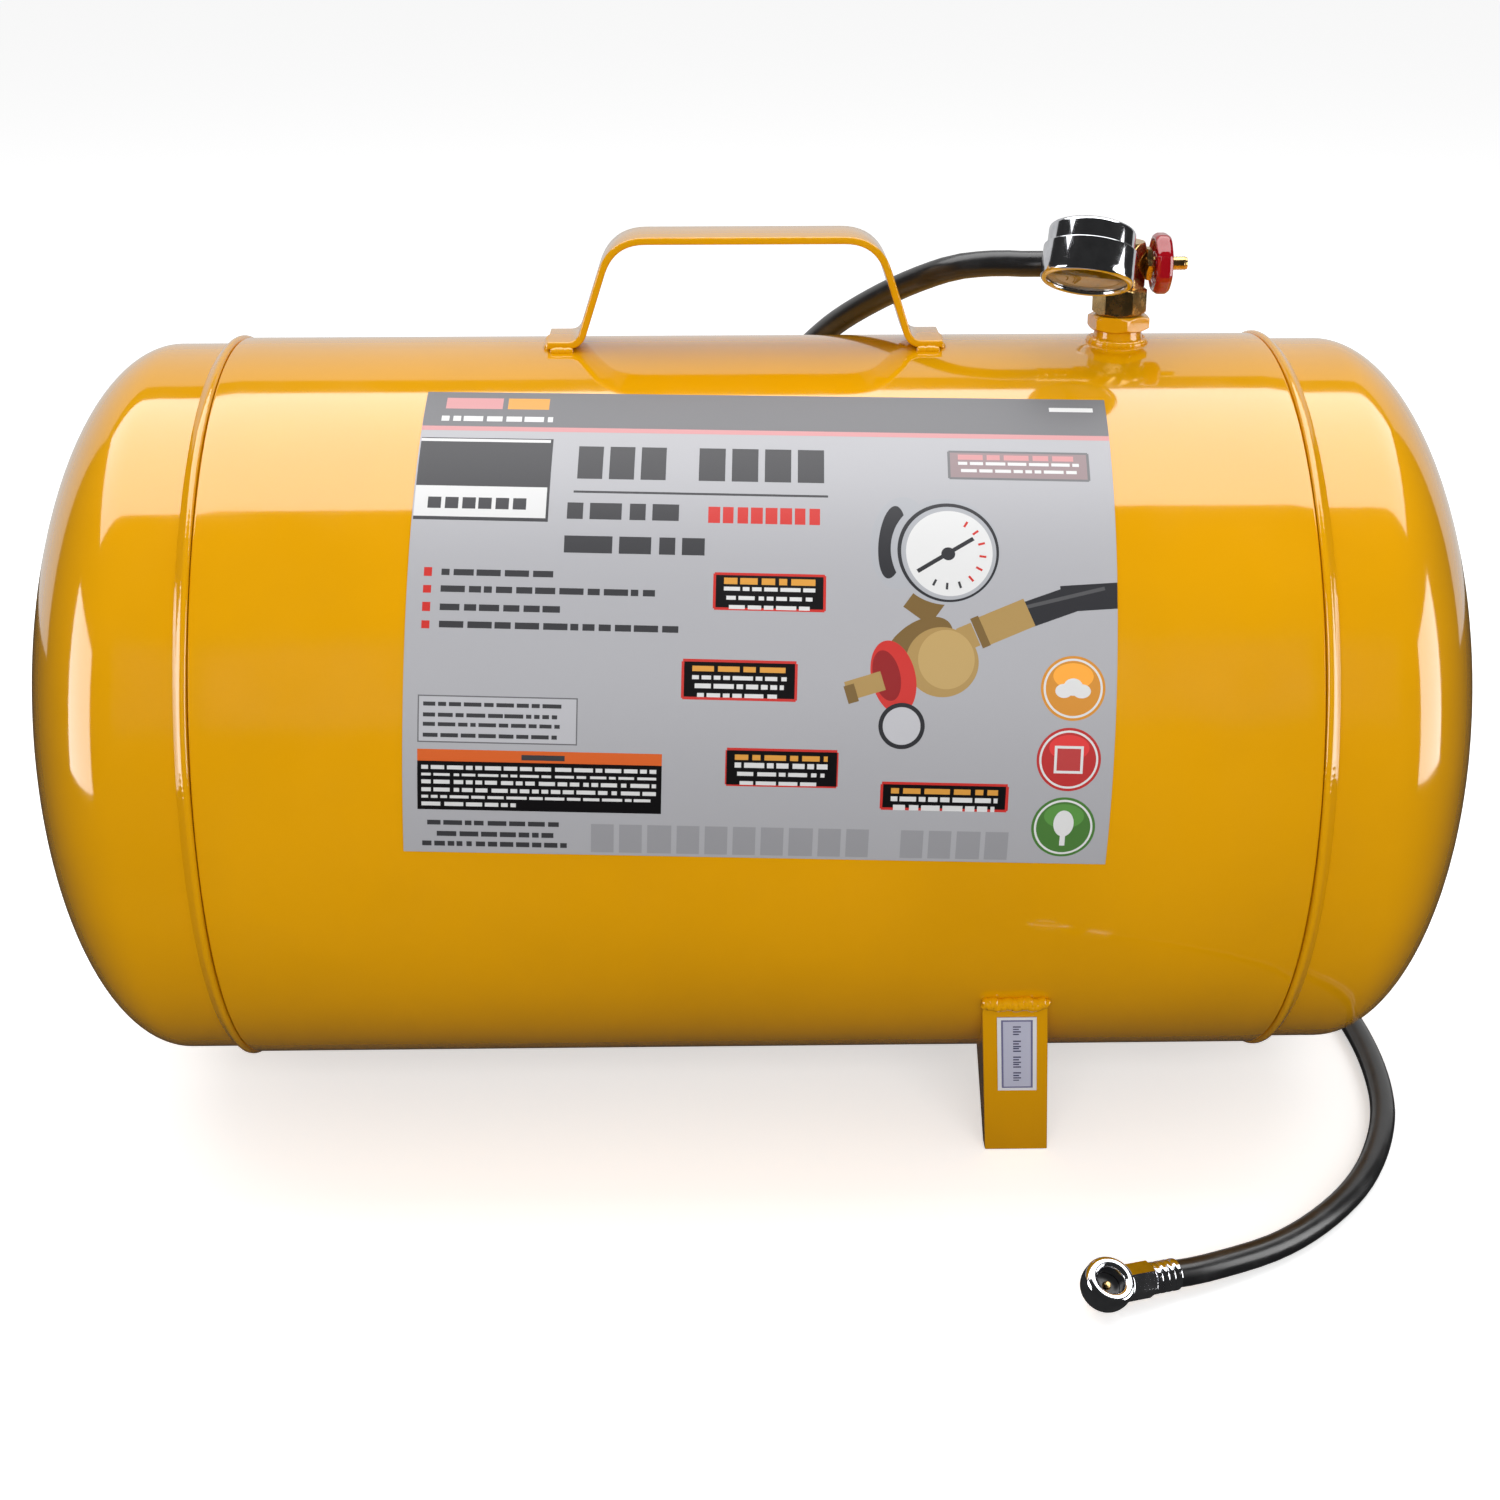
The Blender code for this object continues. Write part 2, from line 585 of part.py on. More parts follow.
def build_bung(stand):
    neck = turned(disc(BUNG_NECK_RADIUS, -WALL - NECK_DEPTH, BUNG_HEX_BASE + 0.001))
    bung = place_mesh("tank_bung", neck, PAINT, stand)
    flange = place_mesh("bung_flange", nut(BUNG_HEX, BUNG_HEX_BASE, BUNG_TOP, turn=radians(8)), None, stand)
    fuse(bung, flange)
    cut(bung, rod("bung_bore", stand, Matrix(), THREAD_RADIUS + FIT_GAP, -0.02, 0.03))


def gauge_place():
    """The gauge's frame: origin in the drum's middle, Z out of the dial, X along its stem to the manifold."""
    stem = (GAUGE_PORT - GAUGE_CENTRE).normalized()
    look = (GAUGE_LOOK - stem * GAUGE_LOOK.dot(stem)).normalized()
    return axes_matrix(GAUGE_CENTRE, look, stem)


def build_manifold(stand):
    collar = nut(COLLAR_HEX, BUNG_TOP + FIT_GAP, COLLAR_TOP, turn=radians(20))
    body = place_mesh("manifold_body", collar, BRASS, stand)
    spigot = rod("spigot", stand, Matrix(), THREAD_RADIUS, -WALL - 0.003, COLLAR_TOP - 0.002)
    octagon = nut(BODY_WIDTH, COLLAR_TOP - 0.001, BODY_TOP, sides=8, chamfer=0.0018)
    block = place_mesh("body_block", octagon, None, stand)
    reach = (GAUGE_PORT - GAUGE_CENTRE).length
    gauge_axis = gauge_place() @ moved(x=reach, z=STEM_BEHIND) @ ALONG_X
    boss_end = -(reach - socket_end() - FIT_GAP)
    boss = rod("gauge_boss", stand, gauge_axis, GAUGE_BOSS_RADIUS, boss_end, 0.0)
    relief_axis = moved(z=RELIEF_Z) @ ALONG_Y
    relief_boss = rod("relief_boss", stand, relief_axis, RELIEF_BOSS_RADIUS, BODY_HALF / 2,
                      BODY_HALF + RELIEF_BOSS_PROUD)
    fuse(body, spigot, block, boss, relief_boss)
    port = moved(z=PORT_HEIGHT) @ ALONG_X
    drills = [
        rod("tank_bore", stand, Matrix(), TANK_BORE_RADIUS, -0.02, PORT_HEIGHT - 0.0038, 20),
        stepped_drill("valve_way", stand, port, [(PORT_THREAD_RADIUS, -BODY_HALF - 0.01, SEAT_X - SEAT_WALL),
                                                 (SEAT_HOLE_RADIUS, SEAT_X - SEAT_WALL, SEAT_X),
                                                 (CHAMBER_RADIUS, SEAT_X, BODY_HALF + 0.01)]),
        stepped_drill("gauge_way", stand, gauge_axis,
                      [(SOCKET_THREAD + FIT_GAP, boss_end - 0.01, -SOCKET_STOP),
                       (PASSAGE_RADIUS, -SOCKET_STOP, 0.0)]),
        stepped_drill("relief_way", stand, relief_axis, [(PASSAGE_RADIUS, 0.0017, BODY_HALF - 0.0025),
                                                         (PORT_THREAD_RADIUS, BODY_HALF - 0.0025, 0.03)]),
    ]
    cut(body, *drills)


def build_valve(stand):
    """Everything on the valve's axis: bonnet, packing, seat disc, spindle, wheel and the fill core."""
    port = frame("valve_axis", moved(z=PORT_HEIGHT) @ ALONG_X, stand)
    face = BODY_HALF + FIT_GAP
    hexagon = nut(BONNET_HEX, face, face + BONNET_LENGTH, chamfer=0.0004)
    bonnet = place_mesh("valve_bonnet", hexagon, BRASS, port)
    thread_start = BODY_HALF - PORT_THREAD_LENGTH
    fuse(bonnet, rod("bonnet_thread", port, Matrix(), CHAMBER_RADIUS - FIT_GAP, thread_start, face + 0.001))
    cut(bonnet, rod("bonnet_bore", port, Matrix(), STEM_RADIUS + RUNNING_GAP, -0.05, 0.05, 32))
    packing_end = thread_start - FIT_GAP
    place_mesh("packing_ring", turned(ring(STEM_RADIUS + RUNNING_GAP, CHAMBER_RADIUS - FIT_GAP / 2,
                                           packing_end - PACKING_LENGTH, packing_end), 32), RUBBER, port)
    seat = SEAT_X + FIT_GAP
    place_mesh("seat_disc", turned(disc(SEAT_DISC_RADIUS, seat, seat + SEAT_DISC_THICKNESS)), RUBBER, port)
    inner_end = seat + SEAT_DISC_THICKNESS + FIT_GAP
    spindle = place_mesh("valve_spindle", turned(disc(STEM_RADIUS, inner_end, STEM_TIP_X), 32), BRASS, port)
    cut(spindle, rod("fill_bore", port, Matrix(), STEM_BORE_RADIUS, FILL_BORE_START, 0.05, 20),
        rod("fill_passage", port, Matrix(), FILL_PASSAGE_RADIUS, inner_end + 0.0022,
            FILL_BORE_START + 0.001, 16),
        rod("cross_hole", port, moved(z=inner_end + 0.0026) @ ALONG_Y, CROSS_HOLE_RADIUS, -0.01, 0.01, 16))
    build_wheel(port)
    core_high = STEM_TIP_X - CORE_BELOW_TIP
    core_low = core_high - CORE_LENGTH
    core = ring(CORE_BORE_RADIUS, STEM_BORE_RADIUS - RUNNING_GAP, core_low, core_high)
    place_mesh("fill_core", turned(core, 20), BRASS, port)
    pin_foot = core_low - 0.0060
    head_low, head_high = core_low - 0.0012, core_low - FIT_GAP
    pin_tip = STEM_TIP_X - 0.0004
    pin = [(0.0, pin_foot), (PIN_RADIUS, pin_foot), (PIN_RADIUS, head_low), (PIN_HEAD_RADIUS, head_low),
           (PIN_HEAD_RADIUS, head_high), (PIN_RADIUS, head_high), (PIN_RADIUS, pin_tip), (0.0, pin_tip)]
    place_mesh("fill_core_pin", turned(pin, 16), BRASS, port)
    spring = ring(PIN_RADIUS + 0.0002, PIN_HEAD_RADIUS - 0.0001, pin_foot - 0.0002,
                  head_low - RUNNING_GAP - PIN_TRAVEL)
    place_mesh("fill_core_spring", turned(spring, 16), STEEL, port)


def build_wheel(port):
    """Handwheel: a rim, a recessed web with finger holes, and a hub, held by a nut in the outer recess."""
    low, high = WHEEL_START_X, WHEEL_START_X + WHEEL_RIM_WIDTH
    middle = (low + high) / 2
    bore, rim_inner = STEM_RADIUS + FIT_GAP, WHEEL_RADIUS - WHEEL_RIM_DEPTH
    web, edge = WHEEL_WEB_HALF, WHEEL_CHAMFER
    profile = [(bore, low + 0.0004), (WHEEL_HUB_RADIUS, low + 0.0004), (WHEEL_HUB_RADIUS, middle - web),
               (rim_inner, middle - web), (rim_inner, low + edge), (rim_inner + edge, low),
               (WHEEL_RADIUS - edge, low), (WHEEL_RADIUS, low + edge), (WHEEL_RADIUS, high - edge),
               (WHEEL_RADIUS - edge, high), (rim_inner + edge, high), (rim_inner, high - edge),
               (rim_inner, middle + web), (bore, middle + web)]
    wheel = place_mesh("handwheel", turned(profile, 40), RED, port)
    hole_at = (WHEEL_HUB_RADIUS + rim_inner) / 2
    for i in range(WHEEL_HOLES):
        place = Matrix.Rotation(2 * pi * i / WHEEL_HOLES, 4, "Z") @ moved(x=hole_at)
        cut(wheel, rod(f"finger_hole_{i + 1}", port, place, WHEEL_HOLE_RADIUS, 0.0, 0.05, 12))
    nut_low = middle + web + FIT_GAP
    hexagon = nut(NUT_HEX, nut_low, nut_low + NUT_LENGTH, chamfer=0.0003)
    wheel_nut = place_mesh("handwheel_nut", hexagon, STEEL, port)
    cut(wheel_nut, rod("nut_bore", port, Matrix(), STEM_RADIUS + FIT_GAP, 0.0, 0.05))


def build_hose_fitting(stand):
    """Screwed into the port opposite the valve: hex, nipple and crimped ferrule, with the hose beyond."""
    port = frame("hose_axis", moved(z=PORT_HEIGHT) @ Matrix.Rotation(-pi / 2, 4, "Y"), stand)
    face = BODY_HALF + FIT_GAP
    hex_end = face + HOSE_HEX_LENGTH
    ferrule_start = hex_end + FIT_GAP
    fitting = place_mesh("hose_fitting", nut(HOSE_HEX, face, hex_end, turn=radians(30)), BRASS, port)
    thread_start, nipple_end = BODY_HALF - PORT_THREAD_LENGTH, ferrule_start + FERRULE_LENGTH
    fuse(fitting,
         rod("fitting_thread", port, Matrix(), PORT_THREAD_RADIUS - FIT_GAP, thread_start, face + 0.002),
         rod("fitting_nipple", port, Matrix(), NIPPLE_RADIUS, hex_end - 0.002, nipple_end))
    cut(fitting, rod("fitting_bore", port, Matrix(), FITTING_BORE_RADIUS, -0.05, 0.05, 16))
    sleeve = ferrule_profile(ferrule_start, FERRULE_LENGTH, FERRULE_RADIUS)
    place_mesh("hose_ferrule", turned(sleeve, 24), BRASS, port)


def ferrule_profile(start, length, radius):
    """A crimped sleeve round the nipple, with shallow grooves."""
    inner = NIPPLE_RADIUS + FIT_GAP
    end = start + length
    groove = radius - CRIMP_DEPTH
    points = [(inner, start), (radius, start)]
    for share in (0.25, 0.50, 0.75):
        at = start + length * share
        points += [(radius, at - 0.0010), (groove, at - 0.0005), (groove, at + 0.0005), (radius, at + 0.0010)]
    return points + [(radius, end), (inner, end)]


# Gauge

def gear_outline(teeth, carried, module, thickness_share, hub_radius=None):
    """Outline of an involute spur gear, or of a sector of it with the first tooth's centre at angle 0."""
    pitch = module * teeth / 2
    base = pitch * cos(radians(20))
    tip = pitch + 0.85 * module
    root = pitch - 1.15 * module
    half_angle = thickness_share * pi / (2 * teeth)

    def involute(radius):
        if radius <= base:
            return 0.0
        roll = sqrt((radius / base) ** 2 - 1)
        return roll - atan2(roll, 1.0)

    at_pitch = involute(pitch)
    radii = [max(root, base), (max(root, base) + tip) / 2, tip]
    points = []
    first = -(carried - 1) / 2 if carried < teeth else 0
    for k in range(carried):
        centre = 2 * pi * (first + k) / teeth
        rising = [(r, centre - half_angle - at_pitch + involute(r)) for r in radii]
        falling = [(r, centre + half_angle + at_pitch - involute(r)) for r in reversed(radii)]
        foot = half_angle + at_pitch
        flare = 0.02 / teeth
        tooth = [(root, centre - foot - flare)] + rising + falling + [(root, centre + foot + flare)]
        points += [(r * cos(a), r * sin(a)) for r, a in tooth]
    if carried < teeth:
        edge = 2 * pi * (carried / 2) / teeth
        points = [(root * cos(-edge), root * sin(-edge))] + points + [(root * cos(edge), root * sin(edge))]
        points += arc((0.0, 0.0), hub_radius, edge + 0.9, 2 * pi - edge - 0.9, 8)
    return points


def socket_end():
    """How far the gauge socket's wrench hex reaches from the drum's middle, along the stem."""
    return GAUGE_RADIUS + SOCKET_CLEARANCE + SOCKET_HEX_LENGTH


def build_gauge(stand):
    gauge = frame("gauge_frame", gauge_place(), stand)
    inner_case = CASE_RADIUS - GAUGE_SHEET
    case_front = BEZEL_FRONT - LENS_SEAT
    case = [(0.0, CASE_BACK), (CASE_RADIUS - 0.0015, CASE_BACK), (CASE_RADIUS, CASE_BACK + 0.0015),
            (CASE_RADIUS, case_front), (inner_case, case_front), (inner_case, CASE_BACK + 0.0015),
            (inner_case - 0.0010, CASE_BACK + GAUGE_SHEET), (0.0, CASE_BACK + GAUGE_SHEET)]
    cup = place_mesh("gauge_case", turned(case, 40), CHROME, gauge)
    stem_way = moved(z=STEM_BEHIND) @ ALONG_X
    cut(cup, rod("socket_way", gauge, stem_way, SOCKET_NECK_RADIUS + 2 * FIT_GAP, inner_case - 0.004,
                 GAUGE_RADIUS + 0.01))
    build_bezel(gauge, stem_way)
    lens = disc(CASE_RADIUS - FIT_GAP, case_front + FIT_GAP, BEZEL_FRONT - BEZEL_LIP - FIT_GAP)
    place_mesh("gauge_lens", turned(lens), LENS, gauge)
    dial_low, dial_high = DIAL_HEIGHT, DIAL_HEIGHT + DIAL_THICKNESS
    place_mesh("gauge_dial", turned(ring(0.0012, inner_case - FIT_GAP, dial_low, dial_high)), DIAL, gauge)
    build_socket(gauge, stem_way, inner_case)
    build_movement(gauge, dial_low, dial_high)


def build_bezel(gauge, stem_way):
    wall = GAUGE_RADIUS - GAUGE_SHEET
    profile = [(wall, BEZEL_BACK), (GAUGE_RADIUS, BEZEL_BACK), (GAUGE_RADIUS, BEZEL_FRONT - 0.0010),
               (GAUGE_RADIUS - 0.0010, BEZEL_FRONT), (GAUGE_RADIUS - 0.0024, BEZEL_FRONT),
               (GAUGE_RADIUS - 0.0028, BEZEL_FRONT - BEZEL_LIP), (wall, BEZEL_FRONT - BEZEL_LIP)]
    bezel = place_mesh("gauge_bezel", turned(profile, 40), CHROME, gauge)
    cut(bezel, rod("socket_notch", gauge, stem_way, 0.0062, wall - 0.004, GAUGE_RADIUS + 0.01))


def build_socket(gauge, stem_way, inner_case):
    """Brass socket: a block inside the case, a neck through its wall, a wrench hex and the thread."""
    hex_start = GAUGE_RADIUS + SOCKET_CLEARANCE
    block_far, block_near = inner_case - 0.0010, inner_case - 0.0062
    socket = place_mesh("gauge_socket", nut(SOCKET_HEX, hex_start, socket_end()), BRASS, gauge, stem_way)
    neck = rod("socket_neck", gauge, stem_way, SOCKET_NECK_RADIUS, block_far - 0.002, hex_start + 0.001)
    thread_length = (GAUGE_PORT - GAUGE_CENTRE).length - SOCKET_STOP - FIT_GAP
    thread = rod("socket_thread", gauge, stem_way, SOCKET_THREAD, socket_end() - 0.001, thread_length)
    low, high = -0.0018, STEM_BEHIND - BOURDON_BEHIND + 0.0022
    block = place_mesh("socket_block", prism([(low, -0.0045), (high, -0.0045), (high, 0.0045), (low, 0.0045)],
                                             block_near, block_far), None, gauge, stem_way)
    fuse(socket, neck, thread, block)
    cut(socket, rod("socket_bore", gauge, stem_way, SOCKET_BORE_RADIUS, block_near + 0.0015, 0.06, 12))
    build_bourdon(gauge, (block_near + block_far) / 2)


def build_bourdon(gauge, root_radius):
    """A C-shaped flattened tube that starts beside the socket block and ends short of a full turn."""
    radius = root_radius - 0.0002
    steps = 22
    bm = bmesh.new()
    loops = []
    for k in range(steps + 1):
        a = BOURDON_START + (BOURDON_END - BOURDON_START) * k / steps
        section = [(radius + 0.0008 * cos(s), 0.0018 * sin(s)) for s in (2 * pi * m / 8 for m in range(8))]
        loops.append([bm.verts.new((r * cos(a), r * sin(a), BOURDON_BEHIND + h)) for r, h in section])
    for one, two in zip(loops, loops[1:]):
        for i in range(8):
            j = (i + 1) % 8
            bm.faces.new((one[i], one[j], two[j], two[i]))
    bm.faces.new(loops[0])
    bm.faces.new(loops[-1])
    place_mesh("bourdon_tube", bm, BRASS, gauge)


def build_movement(gauge, dial_low, dial_high):
    """Plate, sector and pinion: the sector turns the pinion, and the needle rides on the pinion's shaft."""
    gear_low, gear_high = 0.0008, 0.0020
    plate_low, plate_high = -0.0012, -0.0002
    spacing = GEAR_MODULE * (PINION_TEETH + SECTOR_TEETH) / 2
    pivot = moved(y=spacing)
    outline = [(-0.0045, -0.0050), (0.0045, -0.0050), (0.0060, spacing + 0.0020), (-0.0060, spacing + 0.0020)]
    plate = place_mesh("movement_plate", prism(outline, plate_low, plate_high), BRASS, gauge)
    posts = [rod(f"post_{i + 1}", gauge, moved(x=x, y=y), 0.0008, plate_high - 0.0005, dial_low - FIT_GAP, 12)
             for i, (x, y) in enumerate(((-0.0032, -0.0038), (0.0032, -0.0038)))]
    fuse(plate, *posts)
    cut(plate, rod("pinion_hole", gauge, Matrix(), SHAFT_RADIUS + RUNNING_GAP, -0.01, 0.004, 20),
        rod("sector_hole", gauge, pivot, PIVOT_RADIUS + RUNNING_GAP, -0.01, 0.004, 20))
    turn = Matrix.Rotation(pi / 2 + pi / PINION_TEETH, 4, "Z")
    small = gear_outline(PINION_TEETH, PINION_TEETH, GEAR_MODULE, TOOTH_SHARE)
    pinion = place_mesh("pinion", prism(small, gear_low, gear_high), BRASS, gauge, turn)
    shaft_low = plate_low - 0.0006
    fuse(pinion, rod("pinion_shaft", gauge, Matrix(), SHAFT_RADIUS, shaft_low, dial_high + 0.0018, 20))
    half_sweep = DIAL_SWEEP * PINION_TEETH / SECTOR_TEETH / 2
    sector_frame = pivot @ Matrix.Rotation(-pi / 2, 4, "Z")
    lead = whole_teeth(half_sweep)
    large = gear_outline(SECTOR_TEETH, SECTOR_CUT_TEETH, GEAR_MODULE, TOOTH_SHARE, 3 * PIVOT_RADIUS)
    sector = place_mesh("sector_gear", prism(large, gear_low, gear_high), BRASS, gauge,
                        sector_frame @ Matrix.Rotation(-lead, 4, "Z"))
    fuse(sector, rod("sector_shaft", gauge, pivot, PIVOT_RADIUS, shaft_low, gear_high + 0.0008, 20))
    build_needle(gauge, dial_high)


def whole_teeth(angle):
    """The angle nearest to angle that is a whole number of sector teeth, so the gears stay in mesh."""
    return round(angle * SECTOR_TEETH / (2 * pi)) * 2 * pi / SECTOR_TEETH


def build_needle(gauge, dial_high):
    """The pointer at zero: the dial's top is away from the stem, and the sweep is centred on it."""
    low, high = dial_high + 0.0006, dial_high + 0.0012
    zero = pi + DIAL_SWEEP / 2
    half, tip = NEEDLE_HALF_WIDTH, 0.00025
    outline = [(-NEEDLE_TAIL, -0.8 * half), (0.0, -half), (NEEDLE_LENGTH, -tip), (NEEDLE_LENGTH, tip),
               (0.0, half), (-NEEDLE_TAIL, 0.8 * half)]
    needle = place_mesh("gauge_needle", prism(outline, low, high), INK, gauge, Matrix.Rotation(zero, 4, "Z"))
    fuse(needle, rod("needle_boss", gauge, Matrix(), 0.0015, low - 0.0002, high + 0.0006, 20))
    cut(needle, rod("needle_bore", gauge, Matrix(), SHAFT_RADIUS + RUNNING_GAP / 2, -0.01, 0.02, 20))


# Relief valve

def build_relief(stand):
    """Spring-loaded safety valve on the manifold's back, opened by pulling its ring."""
    axis = frame("relief_axis", moved(z=RELIEF_Z) @ ALONG_Y, stand)
    face = BODY_HALF + RELIEF_BOSS_PROUD + FIT_GAP
    far = face + RELIEF_LENGTH
    hex_end = face + RELIEF_HEX_LENGTH
    body = place_mesh("relief_body", nut(RELIEF_HEX, face, hex_end), BRASS, axis)
    fuse(body, rod("relief_barrel", axis, Matrix(), RELIEF_BODY_RADIUS, hex_end - 0.001, far),
         rod("relief_spigot", axis, Matrix(), PORT_THREAD_RADIUS - FIT_GAP, face - 0.0045, face + 0.001))
    seat = face + 0.0020
    cut(body, rod("relief_inlet", axis, Matrix(), PASSAGE_RADIUS, -0.05, seat + 0.001, 16),
        rod("relief_spring_bore", axis, Matrix(), RELIEF_CHAMBER_RADIUS, seat, far - RELIEF_CAP),
        rod("relief_guide", axis, Matrix(), RELIEF_STEM_RADIUS + RUNNING_GAP, seat + 0.002, far + 0.01, 20),
        rod("relief_vent", axis, moved(z=hex_end + 0.006) @ ALONG_X, 0.0012, -0.01, 0.01, 12))
    poppet = seat + FIT_GAP
    eye = far + RELIEF_EYE
    poppet_top = poppet + 0.0014
    stem = [(0.0, poppet), (RELIEF_POPPET_RADIUS, poppet), (RELIEF_POPPET_RADIUS, poppet_top),
            (RELIEF_STEM_RADIUS, poppet_top), (RELIEF_STEM_RADIUS, eye + EYE_RADIUS), (0.0, eye + EYE_RADIUS)]
    pull = place_mesh("relief_stem", turned(stem, 20), BRASS, axis)
    fuse(pull, rod("stem_eye", axis, moved(z=eye) @ ALONG_X, EYE_RADIUS, -EYE_HALF_WIDTH, EYE_HALF_WIDTH, 20))
    cut(pull, rod("eye_hole", axis, moved(z=eye) @ ALONG_X, RING_WIRE + FIT_GAP, -0.01, 0.01, 16))
    spring = ring(RELIEF_STEM_RADIUS + 0.0006, RELIEF_POPPET_RADIUS, poppet_top + RUNNING_GAP + RELIEF_TRAVEL,
                  far - RELIEF_CAP - FIT_GAP)
    place_mesh("relief_spring", turned(spring, 20), STEEL, axis)
    build_ring(axis, eye)


def build_ring(axis, eye):
    """A wire ring that hangs through the stem's eye, in the plane across the stem."""
    bm = bmesh.new()
    steps, sides = 28, 8
    loops = []
    for k in range(steps):
        a = 2 * pi * k / steps
        way = Vector((cos(a), sin(a), 0.0))
        section = arc((0.0, 0.0), RING_WIRE, 0.0, 2 * pi, sides)[:-1]
        loops.append([bm.verts.new(way * (RING_RADIUS + out) + Vector((0, 0, up))) for out, up in section])
    for one, two in zip(loops, loops[1:] + loops[:1]):
        for i in range(sides):
            j = (i + 1) % sides
            bm.faces.new((one[i], one[j], two[j], two[i]))
    bmesh.ops.translate(bm, verts=bm.verts, vec=(0.0, RING_RADIUS, 0.0))
    place_mesh("pull_ring", bm, CHROME, axis, moved(z=eye))


# Hose and chuck

def smooth_route(route, spacing):
    """Points along a Catmull-Rom curve through the route, about spacing apart."""
    points = [Vector(p) for p in route]
    padded = [2 * points[0] - points[1]] + points + [2 * points[-1] - points[-2]]
    made = []
    for a, b, c, d in zip(padded, padded[1:], padded[2:], padded[3:]):
        steps = max(1, ceil((c - b).length / spacing))
        for k in range(steps):
            t = k / steps
            made.append(0.5 * (2 * b + (c - a) * t + (2 * a - 5 * b + 4 * c - d) * t ** 2
                               + (3 * b - a - 3 * c + d) * t ** 3))
    return made + [points[-1]]


def chuck_place():
    """The chuck's frame: origin in the head, X towards the hose, Z out of the mouth."""
    back = CHUCK_TO_HOSE.normalized()
    face = (CHUCK_FACE - back * CHUCK_FACE.dot(back)).normalized()
    return axes_matrix(CHUCK_CENTRE, face, back)


def build_hose():
    run = BODY_HALF + HOSE_HEX_LENGTH + FERRULE_LENGTH + 3 * FIT_GAP
    start = Vector((BUNG_X - run, 0.0, TANK_TOP + PORT_HEIGHT))
    chuck = chuck_place()
    end = chuck @ Vector((CHUCK_FERRULE_END + FIT_GAP, 0, 0))
    lead_out = chuck @ Vector((CHUCK_FERRULE_END + CHUCK_LEAD, 0, 0))
    route = [start, start - Vector((HOSE_LEAD, 0.0, 0.0))] + HOSE_ROUTE + [lead_out, end]
    curve = bpy.data.curves.new("hose", "CURVE")
    curve.dimensions = "3D"
    curve.bevel_depth = HOSE_RADIUS
    curve.bevel_resolution = 3
    curve.use_fill_caps = True
    points = smooth_route(route, 0.026)
    spline = curve.splines.new("POLY")
    spline.points.add(len(points) - 1)
    for spot, place in zip(spline.points, points):
        spot.co = (*place, 1.0)
    hose = bpy.data.objects.new("hose", curve)
    bpy.context.scene.collection.objects.link(hose)
    curve.materials.append(material(RUBBER))


def build_chuck():
    """Tyre chuck: a round head with a mouth, a wrench neck, a crimped ferrule, a seal, a pin and a spring."""
    chuck = frame("chuck_frame", chuck_place())
    head = [(0.0, CHUCK_BASE), (0.5 * CHUCK_RADIUS, CHUCK_BASE + 0.0007),
            (0.84 * CHUCK_RADIUS, CHUCK_BASE + 0.0030), (CHUCK_RADIUS, CHUCK_BASE + 0.0062),
            (CHUCK_RADIUS, CHUCK_TOP - 0.0010),
            (CHUCK_RADIUS - 0.0010, CHUCK_TOP), (0.0, CHUCK_TOP)]
    body = place_mesh("chuck_body", turned(head, 36), CHROME, chuck)
    hexagon = nut(CHUCK_HEX, 0.5 * CHUCK_RADIUS, CHUCK_NECK_END, turn=radians(30))
    neck = place_mesh("chuck_neck", hexagon, None, chuck, ALONG_X)
    stem = rod("chuck_nipple", chuck, ALONG_X, NIPPLE_RADIUS, CHUCK_NECK_END - 0.002, CHUCK_FERRULE_END)
    fuse(body, neck, stem)
    bore_floor = CHUCK_TOP - CHUCK_BORE_DEPTH
    half = CHUCK_SLOT_HALF
    notch = prism([(-half, 0.0), (half, 0.0), (half, 0.02), (-half, 0.02)], CHUCK_TOP - CHUCK_SLOT_DEPTH,
                  CHUCK_TOP + 0.01)
    slot = place_mesh("mouth_slot", notch, None, chuck, Matrix.Rotation(CHUCK_SLOT_TURN, 4, "Z"))
    cut(body, rod("mouth", chuck, Matrix(), CHUCK_BORE_RADIUS, bore_floor, CHUCK_TOP + 0.01, 28),
        rod("air_way", chuck, moved(z=CHUCK_AIR_WAY_Z) @ ALONG_X, 0.0012, 0.0, 0.05, 12), slot)
    seal_low = bore_floor + CHUCK_SEAL_RISE
    seal = ring(0.0018, CHUCK_BORE_RADIUS - FIT_GAP / 2, seal_low, seal_low + CHUCK_SEAL_LENGTH)
    place_mesh("chuck_seal", turned(seal, 28), RUBBER, chuck)
    pin_low = bore_floor + CHUCK_PIN_RISE
    pin = [(0.0, pin_low), (0.0030, pin_low), (0.0030, seal_low - FIT_GAP), (0.0013, seal_low - FIT_GAP),
           (0.0013, seal_low + 0.0029), (0.0008, seal_low + 0.0033), (0.0, seal_low + 0.0033)]
    place_mesh("chuck_pin", turned(pin, 20), BRASS, chuck)
    spring = ring(0.0016, 0.0028, bore_floor + FIT_GAP, pin_low - PIN_TRAVEL - 0.0002)
    place_mesh("chuck_spring", turned(spring, 20), STEEL, chuck)
    sleeve = ferrule_profile(CHUCK_NECK_END + FIT_GAP, CHUCK_FERRULE_END - CHUCK_NECK_END - FIT_GAP,
                             CHUCK_FERRULE_RADIUS)
    place_mesh("chuck_ferrule", turned(sleeve, 24), CHROME, chuck, ALONG_X)


def main():
    clear_scene()
    build_tank()
    axis_frame = bpy.data.objects["tank_axis"]
    build_handle()
    build_feet(axis_frame)
    build_label(axis_frame)
    stand = frame("manifold_frame", moved(x=BUNG_X, z=TANK_TOP))
    build_bung(stand)
    build_manifold(stand)
    build_valve(stand)
    build_hose_fitting(stand)
    build_gauge(stand)
    build_relief(stand)
    build_hose()
    build_chuck()


main()
